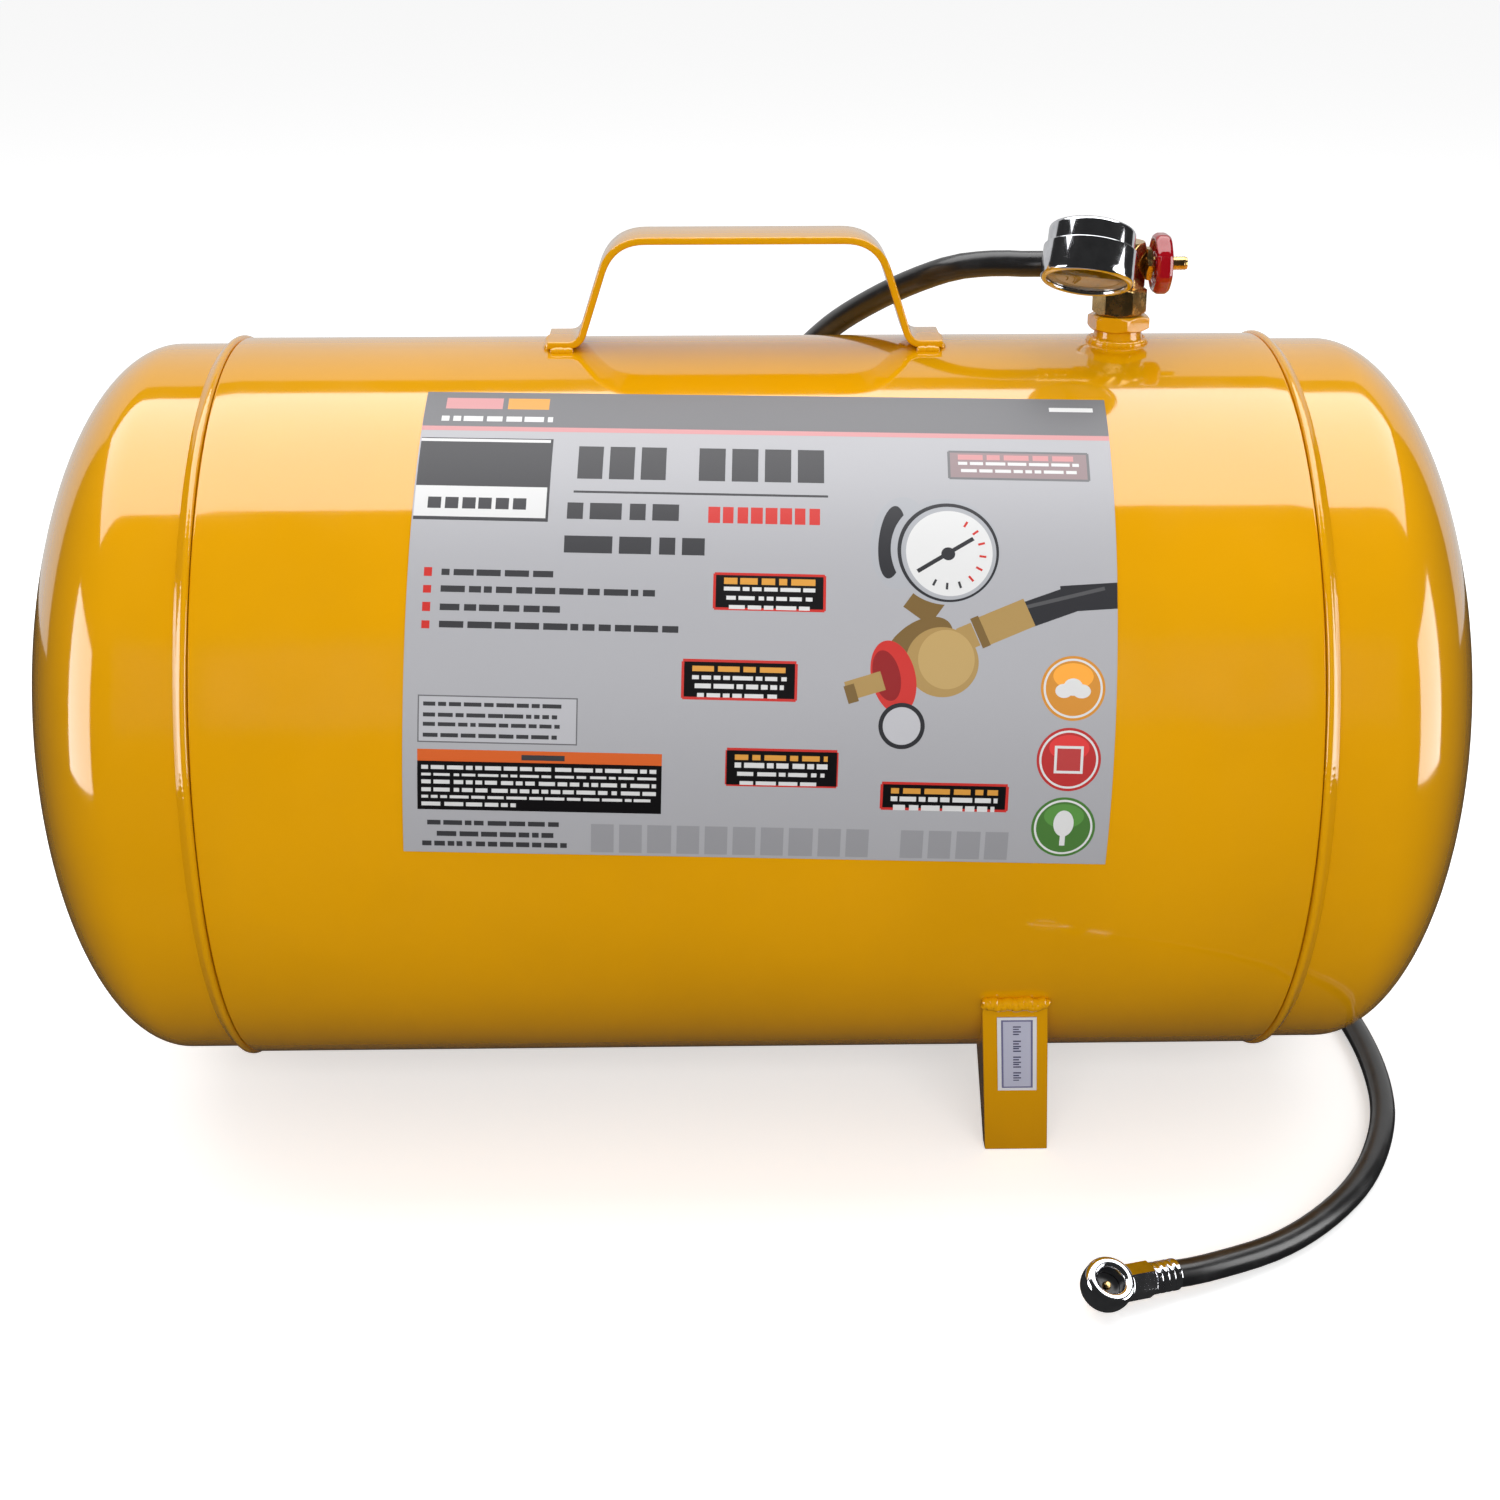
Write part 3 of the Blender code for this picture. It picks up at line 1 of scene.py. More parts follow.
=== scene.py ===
"""Looks for a portable air receiver tank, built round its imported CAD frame.

Every length is in metres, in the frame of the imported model: +Z up, the floor at Z = 0, the tank along X.
"""

import json
from math import cos, pi, radians, sin, sqrt, tan

import bmesh
import bpy
import numpy as np
from mathutils import Matrix, Vector


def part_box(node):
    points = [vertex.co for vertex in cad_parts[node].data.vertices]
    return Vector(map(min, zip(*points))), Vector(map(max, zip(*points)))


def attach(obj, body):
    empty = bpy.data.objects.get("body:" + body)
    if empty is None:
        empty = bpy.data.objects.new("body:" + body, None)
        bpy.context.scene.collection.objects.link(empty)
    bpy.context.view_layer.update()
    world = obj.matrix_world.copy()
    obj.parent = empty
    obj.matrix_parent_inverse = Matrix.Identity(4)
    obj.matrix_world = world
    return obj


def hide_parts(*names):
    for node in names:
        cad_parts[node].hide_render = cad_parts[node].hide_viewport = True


bl_info = {
    "name": "Air receiver tank looks",
    "version": (1, 0, 0),
    "blender": (4, 5, 0),
    "location": "3D View > Sidebar > Air Tank",
    "description": "Paint, print, metal and hose for a portable air receiver tank",
    "category": "Object",
}

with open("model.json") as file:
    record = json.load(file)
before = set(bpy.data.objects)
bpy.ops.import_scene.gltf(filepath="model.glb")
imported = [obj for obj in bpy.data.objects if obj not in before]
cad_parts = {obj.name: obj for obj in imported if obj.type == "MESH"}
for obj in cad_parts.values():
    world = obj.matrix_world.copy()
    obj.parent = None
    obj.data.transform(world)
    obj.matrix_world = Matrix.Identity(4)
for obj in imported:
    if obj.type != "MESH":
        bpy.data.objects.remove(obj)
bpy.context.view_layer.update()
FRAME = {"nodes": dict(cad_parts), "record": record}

SHELL_LOW, SHELL_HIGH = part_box("shell")
TANK_RADIUS = (SHELL_HIGH.z - SHELL_LOW.z) / 2
SHELL_HALF = (SHELL_HIGH.x - SHELL_LOW.x) / 2
AXIS_HEIGHT = (SHELL_HIGH.z + SHELL_LOW.z) / 2
TANK_TOP = SHELL_HIGH.z
WALL = 0.002
GAP = 0.0003  # between touching pieces
HEAD_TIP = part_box("right_head")[1].x
HEAD_RADIUS = TANK_RADIUS - WALL - GAP
HEAD_FLANGE = 0.0279
HEAD_LAP = 0.012
HEAD_BASE = SHELL_HALF + HEAD_FLANGE
HEAD_DEPTH = HEAD_TIP - HEAD_BASE
SEAM_LENGTH = 0.0055

BUNG_X = 0.1508
PORT_HEIGHT = 0.0315
STAND = Matrix.Translation((BUNG_X, 0.0, TANK_TOP))
PORT = STAND @ Matrix.Translation((0.0, 0.0, PORT_HEIGHT)) @ Matrix.Rotation(pi / 2, 4, "Y")
HOSE_PORT = STAND @ Matrix.Translation((0.0, 0.0, PORT_HEIGHT)) @ Matrix.Rotation(-pi / 2, 4, "Y")
RELIEF_HEIGHT = 0.0300
RELIEF = STAND @ Matrix.Translation((0.0, 0.0, RELIEF_HEIGHT)) @ Matrix.Rotation(-pi / 2, 4, "X")
BODY_HALF = 0.00925  # half of the manifold block's width across flats
RELIEF_PROUD = 0.003  # of the relief valve's boss, beyond the block


def axes_matrix(origin, z_axis, x_hint):
    """A frame at origin whose Z is z_axis and whose X is x_hint made square to it."""
    z = Vector(z_axis).normalized()
    x = Vector(x_hint)
    x = (x - z * x.dot(z)).normalized()
    turn = Matrix((x, z.cross(x), z)).transposed().to_4x4()
    return Matrix.Translation(origin) @ turn


GAUGE_CENTRE = Vector((-0.0177, -0.0291, 0.0399))
GAUGE_PORT = Vector((0.0020, 0.0, 0.0225))
GAUGE_STEM = (GAUGE_PORT - GAUGE_CENTRE).normalized()
GAUGE_LOOK = Vector((-0.14, -0.43, -0.89))
GAUGE_FACE = GAUGE_LOOK - GAUGE_STEM * GAUGE_LOOK.dot(GAUGE_STEM)
GAUGE = STAND @ axes_matrix(GAUGE_CENTRE, GAUGE_FACE, GAUGE_STEM)
GAUGE_WAY = GAUGE @ Matrix.Translation((0.0, 0.0, -0.0030)) @ Matrix.Rotation(pi / 2, 4, "Y")

CHUCK_HOSE = Vector((0.922, 0.379, -0.075)).normalized()
CHUCK_LOOK = Vector((0.20, -0.50, 0.84))
CHUCK_FACE = CHUCK_LOOK - CHUCK_HOSE * CHUCK_LOOK.dot(CHUCK_HOSE)
CHUCK = axes_matrix(Vector((0.1284, -0.2144, 0.0112)), CHUCK_FACE, CHUCK_HOSE)
CHUCK_NECK = CHUCK @ Matrix.Rotation(pi / 2, 4, "Y")

# The hose, from near its ferrule over the back of the tank, down, along the floor and round to the chuck.
HOSE_ROUTE = [
    (0.0980, 0.0015, 0.3570), (0.0800, 0.0100, 0.3530), (0.0560, 0.0400, 0.3370),
    (0.0330, 0.0770, 0.3138), (0.0130, 0.1200, 0.2800), (-0.0030, 0.1500, 0.2320),
    (-0.0130, 0.1640, 0.1800), (-0.0140, 0.1720, 0.1280), (-0.0050, 0.1790, 0.0790),
    (0.0160, 0.1880, 0.0390), (0.0480, 0.1980, 0.0140), (0.0880, 0.2060, 0.0063),
    (0.1320, 0.2050, 0.0056), (0.1740, 0.1930, 0.0055), (0.2120, 0.1680, 0.0055),
    (0.2420, 0.1330, 0.0055), (0.2620, 0.0910, 0.0055), (0.2740, 0.0470, 0.0055),
    (0.2780, 0.0040, 0.0055), (0.2770, -0.0360, 0.0055), (0.2710, -0.0740, 0.0055),
    (0.2590, -0.1080, 0.0055), (0.2430, -0.1370, 0.0055), (0.2220, -0.1620, 0.0055),
    (0.1990, -0.1810, 0.0058),
]
HOSE_DIAMETER = 0.0105
HOSE_LEAD = 0.009  # straight run out of the ferrule
HOSE_STEP = 0.008
HOSE_HEX_LENGTH = 0.0065
FERRULE_LENGTH = 0.0150
HOSE_START = Vector((BUNG_X - BODY_HALF - 2 * GAP - HOSE_HEX_LENGTH - FERRULE_LENGTH - GAP, 0.0,
                     TANK_TOP + PORT_HEIGHT))


# Sizes and colours that a user would change

class TankColours(bpy.types.PropertyGroup):
    """Colours of the tank's finishes."""

    paint: bpy.props.FloatVectorProperty(
        name="Paint", description="Enamel on the tank, handle and feet", subtype="COLOR", size=3,
        min=0.0, max=1.0, default=(0.80, 0.37, 0.0005))
    wheel: bpy.props.FloatVectorProperty(
        name="Handwheel", description="Enamel on the valve's handwheel", subtype="COLOR", size=3,
        min=0.0, max=1.0, default=(0.36, 0.003, 0.010))
    brass: bpy.props.FloatVectorProperty(
        name="Brass", description="Fittings of the manifold", subtype="COLOR", size=3,
        min=0.0, max=1.0, default=(0.80, 0.54, 0.22))
    film: bpy.props.FloatVectorProperty(
        name="Label film", description="Ground colour of the printed label", subtype="COLOR", size=3,
        min=0.0, max=1.0, default=(0.43, 0.43, 0.455))
    hose: bpy.props.FloatVectorProperty(
        name="Hose", description="Rubber of the hose", subtype="COLOR", size=3,
        min=0.0, max=1.0, default=(0.012, 0.012, 0.013))


class TankSizes(bpy.types.PropertyGroup):
    """Small sizes of the finish."""

    peel: bpy.props.FloatProperty(
        name="Orange peel", description="Size of the paint's fine ripple", unit="LENGTH",
        default=0.0022, min=0.0005, max=0.02)
    ripple: bpy.props.FloatProperty(
        name="Weld ripple", description="Distance between the ripples of a weld bead", unit="LENGTH",
        default=0.0024, min=0.0010, max=0.01)
    print_step: bpy.props.FloatProperty(
        name="Print step", description="Finest step of the label's print", unit="LENGTH",
        default=0.0005, min=0.0002, max=0.002)
    strap_edge: bpy.props.FloatProperty(
        name="Strap edge", description="Radius of the handle strap's edges", unit="LENGTH",
        default=0.0009, min=0.0002, max=0.0014)


def colours():
    return bpy.context.scene.tank_colours


def sizes():
    return bpy.context.scene.tank_sizes


# Meshes from arrays

def linked(name, data):
    """An object made round its data and put in the scene."""
    obj = bpy.data.objects.new(name, data)
    bpy.context.scene.collection.objects.link(obj)
    return obj


def shaded(name, mesh, smooth):
    """An object of a mesh that is shaded smooth but for edges sharper than smooth degrees."""
    mesh.shade_smooth()
    mesh.set_sharp_from_angle(angle=radians(smooth))
    return linked(name, mesh)


def lay_uv(mesh, uv):
    """Gives each face corner the row of uv that belongs to its vertex."""
    layer = mesh.uv_layers.new(name="UVMap")
    corners = np.empty(len(mesh.loops), dtype=np.int32)
    mesh.loops.foreach_get("vertex_index", corners)
    layer.data.foreach_set("uv", uv[corners].astype(np.float32).ravel())


def add_mesh(name, points, faces, uv=None, smooth=35.0, merge=True):
    """An object from an (n, 3) array and an (m, 4) array of corners, with outward faces and no doubles."""
    mesh = bpy.data.meshes.new(name)
    mesh.from_pydata(points.tolist(), [], faces.tolist())
    if uv is not None:
        lay_uv(mesh, uv)
    if merge:
        bm = bmesh.new()
        bm.from_mesh(mesh)
        bmesh.ops.remove_doubles(bm, verts=bm.verts, dist=1e-7)
        bmesh.ops.dissolve_degenerate(bm, dist=1e-8, edges=bm.edges)
        bmesh.ops.recalc_face_normals(bm, faces=bm.faces)
        bm.to_mesh(mesh)
        bm.free()
    return shaded(name, mesh, smooth)


def grid_faces(rows, columns, wrap_rows=False, wrap_columns=False):
    """Corners of the quads of a grid whose point (i, j) is number i * columns + j."""
    i = np.arange(rows if wrap_rows else rows - 1)
    j = np.arange(columns if wrap_columns else columns - 1)
    i, j = np.meshgrid(i, j, indexing="ij")
    i2, j2 = (i + 1) % rows, (j + 1) % columns
    quads = np.stack([i * columns + j, i * columns + j2, i2 * columns + j2, i2 * columns + j], axis=-1)
    return quads.reshape(-1, 4)


def placed(points, matrix):
    """Points moved by a 4 by 4 matrix."""
    m = np.array(matrix)
    return points @ m[:3, :3].T + m[:3, 3]


def rounded(corners, radius, steps=4):
    """A polyline with a quadratic curve in place of every inner corner, starting at radius from it.

    p(t) = (1-t)^2 a + 2t(1-t) corner + t^2 b. radius is one figure, or one for each inner corner."""
    corners = np.asarray(corners, float)
    radii = np.broadcast_to(radius, len(corners) - 2)
    t = np.linspace(0, 1, steps + 1)[:, None]
    made = [corners[:1]]
    for before, here, after, most in zip(corners, corners[1:], corners[2:], radii):
        reach = min(most, np.linalg.norm(before - here) * 0.48, np.linalg.norm(after - here) * 0.48)
        a = here + (before - here) / np.linalg.norm(before - here) * reach
        b = here + (after - here) / np.linalg.norm(after - here) * reach
        made.append((1 - t) ** 2 * a + 2 * t * (1 - t) * here + t ** 2 * b)
    made.append(corners[-1:])
    return np.concatenate(made)


def turned(name, profile, place=Matrix(), segments=96, wave=None, smooth=35.0):
    """A surface of revolution: point (a, s) = (r(s) cos a, r(s) sin a, h(s)), the profile closed on itself
    unless it starts and ends on the axis. wave(a, r, h) may change r and h."""
    profile = np.asarray(profile, float)
    on_axis = profile[0, 0] < 1e-9 and profile[-1, 0] < 1e-9
    a = np.linspace(0, 2 * pi, segments, endpoint=False)[:, None]
    r = np.broadcast_to(profile[None, :, 0], (segments, len(profile)))
    h = np.broadcast_to(profile[None, :, 1], (segments, len(profile)))
    if wave is not None:
        r, h = wave(a, r, h)
    points = np.stack([r * np.cos(a), r * np.sin(a), h + 0 * a], axis=-1).reshape(-1, 3)
    faces = grid_faces(segments, len(profile), True, not on_axis)
    flat = points[:, :2].copy()
    return add_mesh(name, placed(points, place), faces, uv=flat, smooth=smooth)


CONE_START = 0.98  # of half the width across flats, where a nut's chamfer cone starts


def wrench_solid(name, across, low, high, place, sides=6, turn=0.0, chamfer=0.25, bore=0.0, columns=24):
    """A nut: at angle a the flats stand at (across / 2) / cos(a - nearest flat), and near each end a cone of
    30 degrees cuts the corners, so that r = min(flat, cone)."""
    a = np.linspace(0, 2 * pi, sides * columns, endpoint=False)
    pitch = 2 * pi / sides
    off = (a - turn + pitch / 2) % pitch - pitch / 2
    flat = across / 2 / np.cos(off)
    corner = across / 2 / cos(pi / sides)
    start = across / 2 * CONE_START
    slope = tan(radians(30))
    depth = (corner - start) * slope * chamfer / 0.25
    share = np.linspace(0, 1, 6)
    heights = np.concatenate([[low], low + depth * share[1:], high - depth * share[:0:-1], [high]])
    cone = np.concatenate([[start], start + (corner - start) * share[1:],
                           start + (corner - start) * share[:0:-1], [start]])
    r = np.minimum(flat[:, None], cone[None, :])
    inside = np.full((len(a), 1), bore)
    r = np.concatenate([inside, r, inside], axis=1)
    h = np.concatenate([[low], heights, [high]])
    a = a[:, None]
    points = np.stack([r * np.cos(a), r * np.sin(a), np.broadcast_to(h, r.shape)], axis=-1)
    faces = grid_faces(len(a), len(h), True, bore > 0)
    return add_mesh(name, placed(points.reshape(-1, 3), place), faces, smooth=28)


def swept(name, path, sections, closed=False, smooth=35.0):
    """A section carried along a path. path is (m, 3, 4): side, up and place vectors as columns 0, 1 and 3;
    sections is (m, k, 2). Point (i, j) = place_i + side_i * x_ij + up_i * y_ij."""
    side, up, place = path[:, :, 0], path[:, :, 1], path[:, :, 3]
    points = place[:, None] + side[:, None] * sections[..., :1] + up[:, None] * sections[..., 1:]
    rows, columns = sections.shape[:2]
    faces = grid_faces(rows, columns, closed, True)
    points = points.reshape(-1, 3)
    if not closed:
        ends = []
        for row in (0, rows - 1):
            middle = points[row * columns:(row + 1) * columns].mean(axis=0)
            points = np.vstack([points, middle])
            j = np.arange(columns)
            hub = np.full(columns, len(points) - 1)
            ends.append(np.stack([row * columns + j, row * columns + (j + 1) % columns, hub, hub], axis=-1))
        faces = np.vstack([faces] + ends)
    mesh_faces = [list(dict.fromkeys(f)) for f in faces.tolist()]
    mesh = bpy.data.meshes.new(name)
    mesh.from_pydata(points.tolist(), [], mesh_faces)
    bm = bmesh.new()
    bm.from_mesh(mesh)
    bmesh.ops.recalc_face_normals(bm, faces=bm.faces)
    bm.to_mesh(mesh)
    bm.free()
    return shaded(name, mesh, smooth)


def frames_along(points, up_hint):
    """Side, up, ahead and place at each point of a path, with up as near to up_hint as the path lets."""
    points = np.asarray(points, float)
    ahead = np.gradient(points, axis=0)
    ahead /= np.linalg.norm(ahead, axis=1)[:, None]
    hint = np.broadcast_to(np.asarray(up_hint, float), points.shape)
    up = hint - ahead * (hint * ahead).sum(axis=1)[:, None]
    up /= np.linalg.norm(up, axis=1)[:, None]
    side = np.cross(ahead, up)
    return np.stack([side, up, ahead, points], axis=-1)


def softened(name, node, width, segments=2):
    """A merged copy of a CAD node with its edges bevelled."""
    mesh = FRAME["nodes"][node].data.copy()
    mesh.name = name
    mesh.materials.clear()
    bm = bmesh.new()
    bm.from_mesh(mesh)
    bmesh.ops.remove_doubles(bm, verts=bm.verts, dist=1e-6)
    bmesh.ops.dissolve_limit(bm, angle_limit=radians(1.0), verts=bm.verts, edges=bm.edges)
    sharp = [e for e in bm.edges if e.is_manifold and e.calc_face_angle(0) > radians(25)]
    bmesh.ops.bevel(bm, geom=sharp, offset=width, segments=segments, affect="EDGES", profile=0.5,
                    clamp_overlap=True)
    bmesh.ops.recalc_face_normals(bm, faces=bm.faces)
    bm.to_mesh(mesh)
    bm.free()
    return shaded(name, mesh, 35)


# Materials

class Board:
    """A node tree with short ways to add and join nodes."""

    def __init__(self, name):
        self.material = bpy.data.materials.new(name)
        self.material.use_nodes = True
        self.tree = self.material.node_tree
        self.shader = self.tree.nodes["Principled BSDF"]

    def node(self, kind, inputs=(), **settings):
        made = self.tree.nodes.new(kind)
        for key, value in settings.items():
            setattr(made, key, value)
        for key, value in dict(inputs).items():
            self.give(made.inputs[key], value)
        return made

    def give(self, socket, value):
        if isinstance(value, bpy.types.NodeSocket):
            self.tree.links.new(value, socket)
        else:
            socket.default_value = value

    def set(self, **values):
        for key, value in values.items():
            self.give(self.shader.inputs[key.replace("_", " ")], value)

    def object_coordinates(self):
        return self.node("ShaderNodeTexCoord").outputs["Object"]

    def uv(self):
        return self.node("ShaderNodeUVMap", uv_map="UVMap").outputs["UV"]

    def noise(self, coordinates, size, detail=2.0, roughness=0.5):
        made = self.node("ShaderNodeTexNoise", {"Vector": coordinates, "Scale": 1.0 / size, "Detail": detail,
                                                "Roughness": roughness})
        return made.outputs["Fac"]

    def spread(self, value, low, high, new_low, new_high):
        made = self.node("ShaderNodeMapRange", {"Value": value, "From Min": low, "From Max": high,
                                                "To Min": new_low, "To Max": new_high})
        return made.outputs["Result"]

    def math(self, operation, a, b=0.0):
        return self.node("ShaderNodeMath", {0: a, 1: b}, operation=operation).outputs[0]

    def mix(self, share, a, b):
        made = self.node("ShaderNodeMix", data_type="RGBA")
        self.give(made.inputs[0], share)
        self.give(made.inputs[6], a if isinstance(a, bpy.types.NodeSocket) else (*a, 1.0))
        self.give(made.inputs[7], b if isinstance(b, bpy.types.NodeSocket) else (*b, 1.0))
        return made.outputs[2]

    def bump(self, height, strength, distance, under=None):
        made = self.node("ShaderNodeBump", {"Height": height, "Strength": strength, "Distance": distance})
        if under is not None:
            self.give(made.inputs["Normal"], under)
        return made.outputs["Normal"]

    def patch(self, coordinates, centre, half, turn=0.0, square=False):
        """1 inside an ellipse or rectangle of half sizes half about centre, in the coordinates' units."""
        local = self.node("ShaderNodeMapping", {"Vector": coordinates, "Location": (*centre, 0.0),
                                                "Rotation": (0.0, 0.0, turn), "Scale": (*half, 1.0)},
                          vector_type="TEXTURE").outputs["Vector"]
        if square:
            split = self.node("ShaderNodeSeparateXYZ", {"Vector": local})
            ax = self.math("ABSOLUTE", split.outputs["X"])
            ay = self.math("ABSOLUTE", split.outputs["Y"])
            far = self.math("MAXIMUM", ax, ay)
        else:
            far = self.node("ShaderNodeVectorMath", {0: local}, operation="LENGTH").outputs["Value"]
        return self.math("LESS_THAN", far, 1.0)


def enamel(name, colour, peel, depth=0.00006, shade=0.93):
    """Gloss paint: fine orange peel over long soft waves, and a faint cloudiness, under a clear gloss."""
    board = Board(name)
    where = board.object_coordinates()
    cloud = board.noise(where, 0.09, 3.0)
    base = board.mix(board.spread(cloud, 0.35, 0.65, 0.0, 1.0), tuple(c * shade for c in colour), colour)
    fine = board.noise(where, peel, 2.0)
    broad = board.noise(where, 0.055, 1.0)
    normal = board.bump(fine, 0.12, depth)
    normal = board.bump(broad, 0.30, 0.0009, normal)
    wear = board.spread(board.noise(where, 0.02, 4.0), 0.3, 0.8, 0.07, 0.13)
    board.set(Base_Color=base, Roughness=wear, Normal=normal)
    board.set(Coat_Weight=0.6, Coat_Roughness=0.03, IOR=1.5)
    return board.material


def metal(name, dark, light, roughness, grain, depth):
    """Bare metal: mottled colour, uneven polish and a fine machining grain."""
    board = Board(name)
    where = board.object_coordinates()
    mottle = board.noise(where, 0.006, 4.0, 0.6)
    base = board.mix(board.spread(mottle, 0.3, 0.7, 0.0, 1.0), dark, light)
    grainy = board.noise(where, grain, 3.0, 0.7)
    rough = board.spread(board.noise(where, 0.0035, 3.0), 0.3, 0.7, roughness * 0.75, roughness * 1.3)
    board.set(Base_Color=base, Metallic=1.0, Roughness=rough, Normal=board.bump(grainy, 0.25, depth))
    return board.material


def rubber(name, colour, roughness, weave):
    """Smooth extruded rubber: satin, with a faint fine texture and dusty patches."""
    board = Board(name)
    where = board.object_coordinates()
    dusty = board.noise(where, 0.012, 4.0, 0.6)
    pale = tuple(c * 1.9 + 0.004 for c in colour)
    base = board.mix(board.spread(dusty, 0.45, 0.75, 0.0, 1.0), colour, pale)
    rough = board.spread(dusty, 0.3, 0.7, roughness * 0.85, roughness * 1.2)
    normal = board.bump(board.noise(where, weave, 2.0), 0.2, 0.00008)
    board.set(Base_Color=base, Roughness=rough, Normal=normal)
    board.set(Coat_Weight=0.25, Coat_Roughness=0.18)
    return board.material


def make_materials():
    """Every finish of the object, by the record's material slot."""
    c = colours()
    brass = tuple(c.brass)
    return {
        "yellow_paint": enamel("golden_enamel", tuple(c.paint), sizes().peel),
        "red_enamel": enamel("red_enamel", tuple(c.wheel), 0.0012, 0.00003),
        "brass": metal("machined_brass", tuple(v * 0.72 for v in brass), brass, 0.24, 0.0004, 0.00003),
        "chrome": metal("bright_chrome", (0.60, 0.61, 0.64), (0.78, 0.79, 0.82), 0.09, 0.0006, 0.00001),
        "spring_steel": metal("spring_steel", (0.36, 0.37, 0.40), (0.58, 0.59, 0.62), 0.30, 0.0004, 0.00003),
        "black_rubber": rubber("hose_rubber", tuple(c.hose), 0.32, 0.0011),
        "dial_white": plain_film("dial_card", (0.86, 0.86, 0.84), 0.45),
        "needle_black": plain_film("needle_black", (0.015, 0.015, 0.016), 0.35),
        "label_film": plain_film("label_stock", tuple(c.film), 0.30),
        "lens_clear": lens_glass(),
    }


def plain_film(name, colour, roughness):
    """Printed card or film: a faint mottling and a soft sheen."""
    board = Board(name)
    where = board.object_coordinates()
    mottle = board.noise(where, 0.008, 3.0)
    base = board.mix(board.spread(mottle, 0.3, 0.7, 0.0, 1.0), tuple(v * 0.94 for v in colour), colour)
    normal = board.bump(board.noise(where, 0.001, 2.0), 0.05, 0.00002)
    board.set(Base_Color=base, Roughness=roughness, Normal=normal)
    return board.material


def lens_glass():
    """Clear glass with a faint smear."""
    board = Board("lens_glass")
    where = board.object_coordinates()
    smear = board.spread(board.noise(where, 0.008, 4.0), 0.4, 0.8, 0.02, 0.07)
    board.set(Base_Color=(0.97, 0.98, 1.0, 1.0), Roughness=smear, Transmission_Weight=1.0, IOR=1.45)
    return board.material


FINISH = {}


def dress(obj, slot, body="tank", replaces=()):
    """Gives a piece its finish, its body and the CAD nodes it stands for."""
    obj.data.materials.clear()
    obj.data.materials.append(FINISH[slot])
    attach(obj, body)
    if replaces:
        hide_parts(*replaces)
    return obj


# Tank

def head_profile():
    """Down the outside of a head from its apex, back up the inside: r = R cos t, h = base + depth sin t."""
    t = np.linspace(pi / 2, 0, 40)
    outer = np.stack([HEAD_RADIUS * np.cos(t), HEAD_BASE + HEAD_DEPTH * np.sin(t)], axis=-1)
    low = SHELL_HALF - HEAD_LAP
    flange = np.stack([np.full(8, HEAD_RADIUS), np.linspace(HEAD_BASE, low, 9)[1:]], axis=-1)
    inner = (outer - [0.0, HEAD_BASE]) * [1 - WALL / HEAD_RADIUS, 1 - WALL / HEAD_DEPTH] + [0.0, HEAD_BASE]
    lip = np.array([[HEAD_RADIUS - WALL, low]])
    return np.concatenate([outer, flange, lip, inner[::-1]])


def ripple_wave(pitch, radius, depth):
    """Ripples of a weld bead: r grows by depth |cos(a n / 2)| where a bead's crown is proud."""
    count = round(2 * pi * radius / pitch)

    def wave(a, r, h):
        scallop = np.abs(np.cos(a * count / 2)) + 0.35 * np.sin(a * 7) + 0.25 * np.sin(a * 13 + 1.0)
        proud = np.clip((r - (radius - 0.0018)) / 0.0018, 0, 1)
        return r + depth * scallop * proud, h + 0.0002 * np.sin(a * 9 + 0.7) * proud

    return wave


def build_shell():
    inside, near_end = TANK_RADIUS - WALL, SHELL_HALF - 0.01
    corners = [(inside, -SHELL_HALF), (TANK_RADIUS, -SHELL_HALF), (TANK_RADIUS, -near_end),
               (TANK_RADIUS, near_end), (TANK_RADIUS, SHELL_HALF), (inside, SHELL_HALF)]
    axis = Matrix.Translation((0.0, 0.0, AXIS_HEIGHT)) @ Matrix.Rotation(pi / 2, 4, "Y")
    shell = turned("tank_shell", rounded(corners, 0.0009), axis, 288)
    dress(shell, "yellow_paint", replaces=["shell"])
    for name, sign in (("right", 1), ("left", -1)):
        place = Matrix.Translation((0.0, 0.0, AXIS_HEIGHT)) @ Matrix.Rotation(sign * pi / 2, 4, "Y")
        head = turned(f"{name}_dished_head", head_profile(), place, 240)
        dress(head, "yellow_paint", replaces=[f"{name}_head"])
        start = SHELL_HALF + GAP
        foot = HEAD_RADIUS + GAP
        crown = TANK_RADIUS + 0.0009
        bead = rounded([(foot, start), (crown - 0.0008, start + 0.0001), (crown, start + 0.0010),
                        (crown - 0.0002, start + 0.0024), (foot + 0.0011, start + 0.0044),
                        (foot, start + SEAM_LENGTH)], 0.0010, 3)
        wave = ripple_wave(sizes().ripple, TANK_RADIUS, 0.00016)
        weld = turned(f"{name}_seam_weld", bead, place, 960, wave)
        dress(weld, "yellow_paint", replaces=[f"{name}_girth_weld"])


HANDLE_X = -0.0028
HANDLE_HEIGHT = 0.045
HANDLE_BASE_HALF = 0.0692
HANDLE_TOP_HALF = 0.0545
HANDLE_TAB = 0.0108
STRAP_WIDTH = 0.030
STRAP_THICKNESS = 0.003
ANKLE_BEND = 0.0048
CROWN_BEND = 0.0135


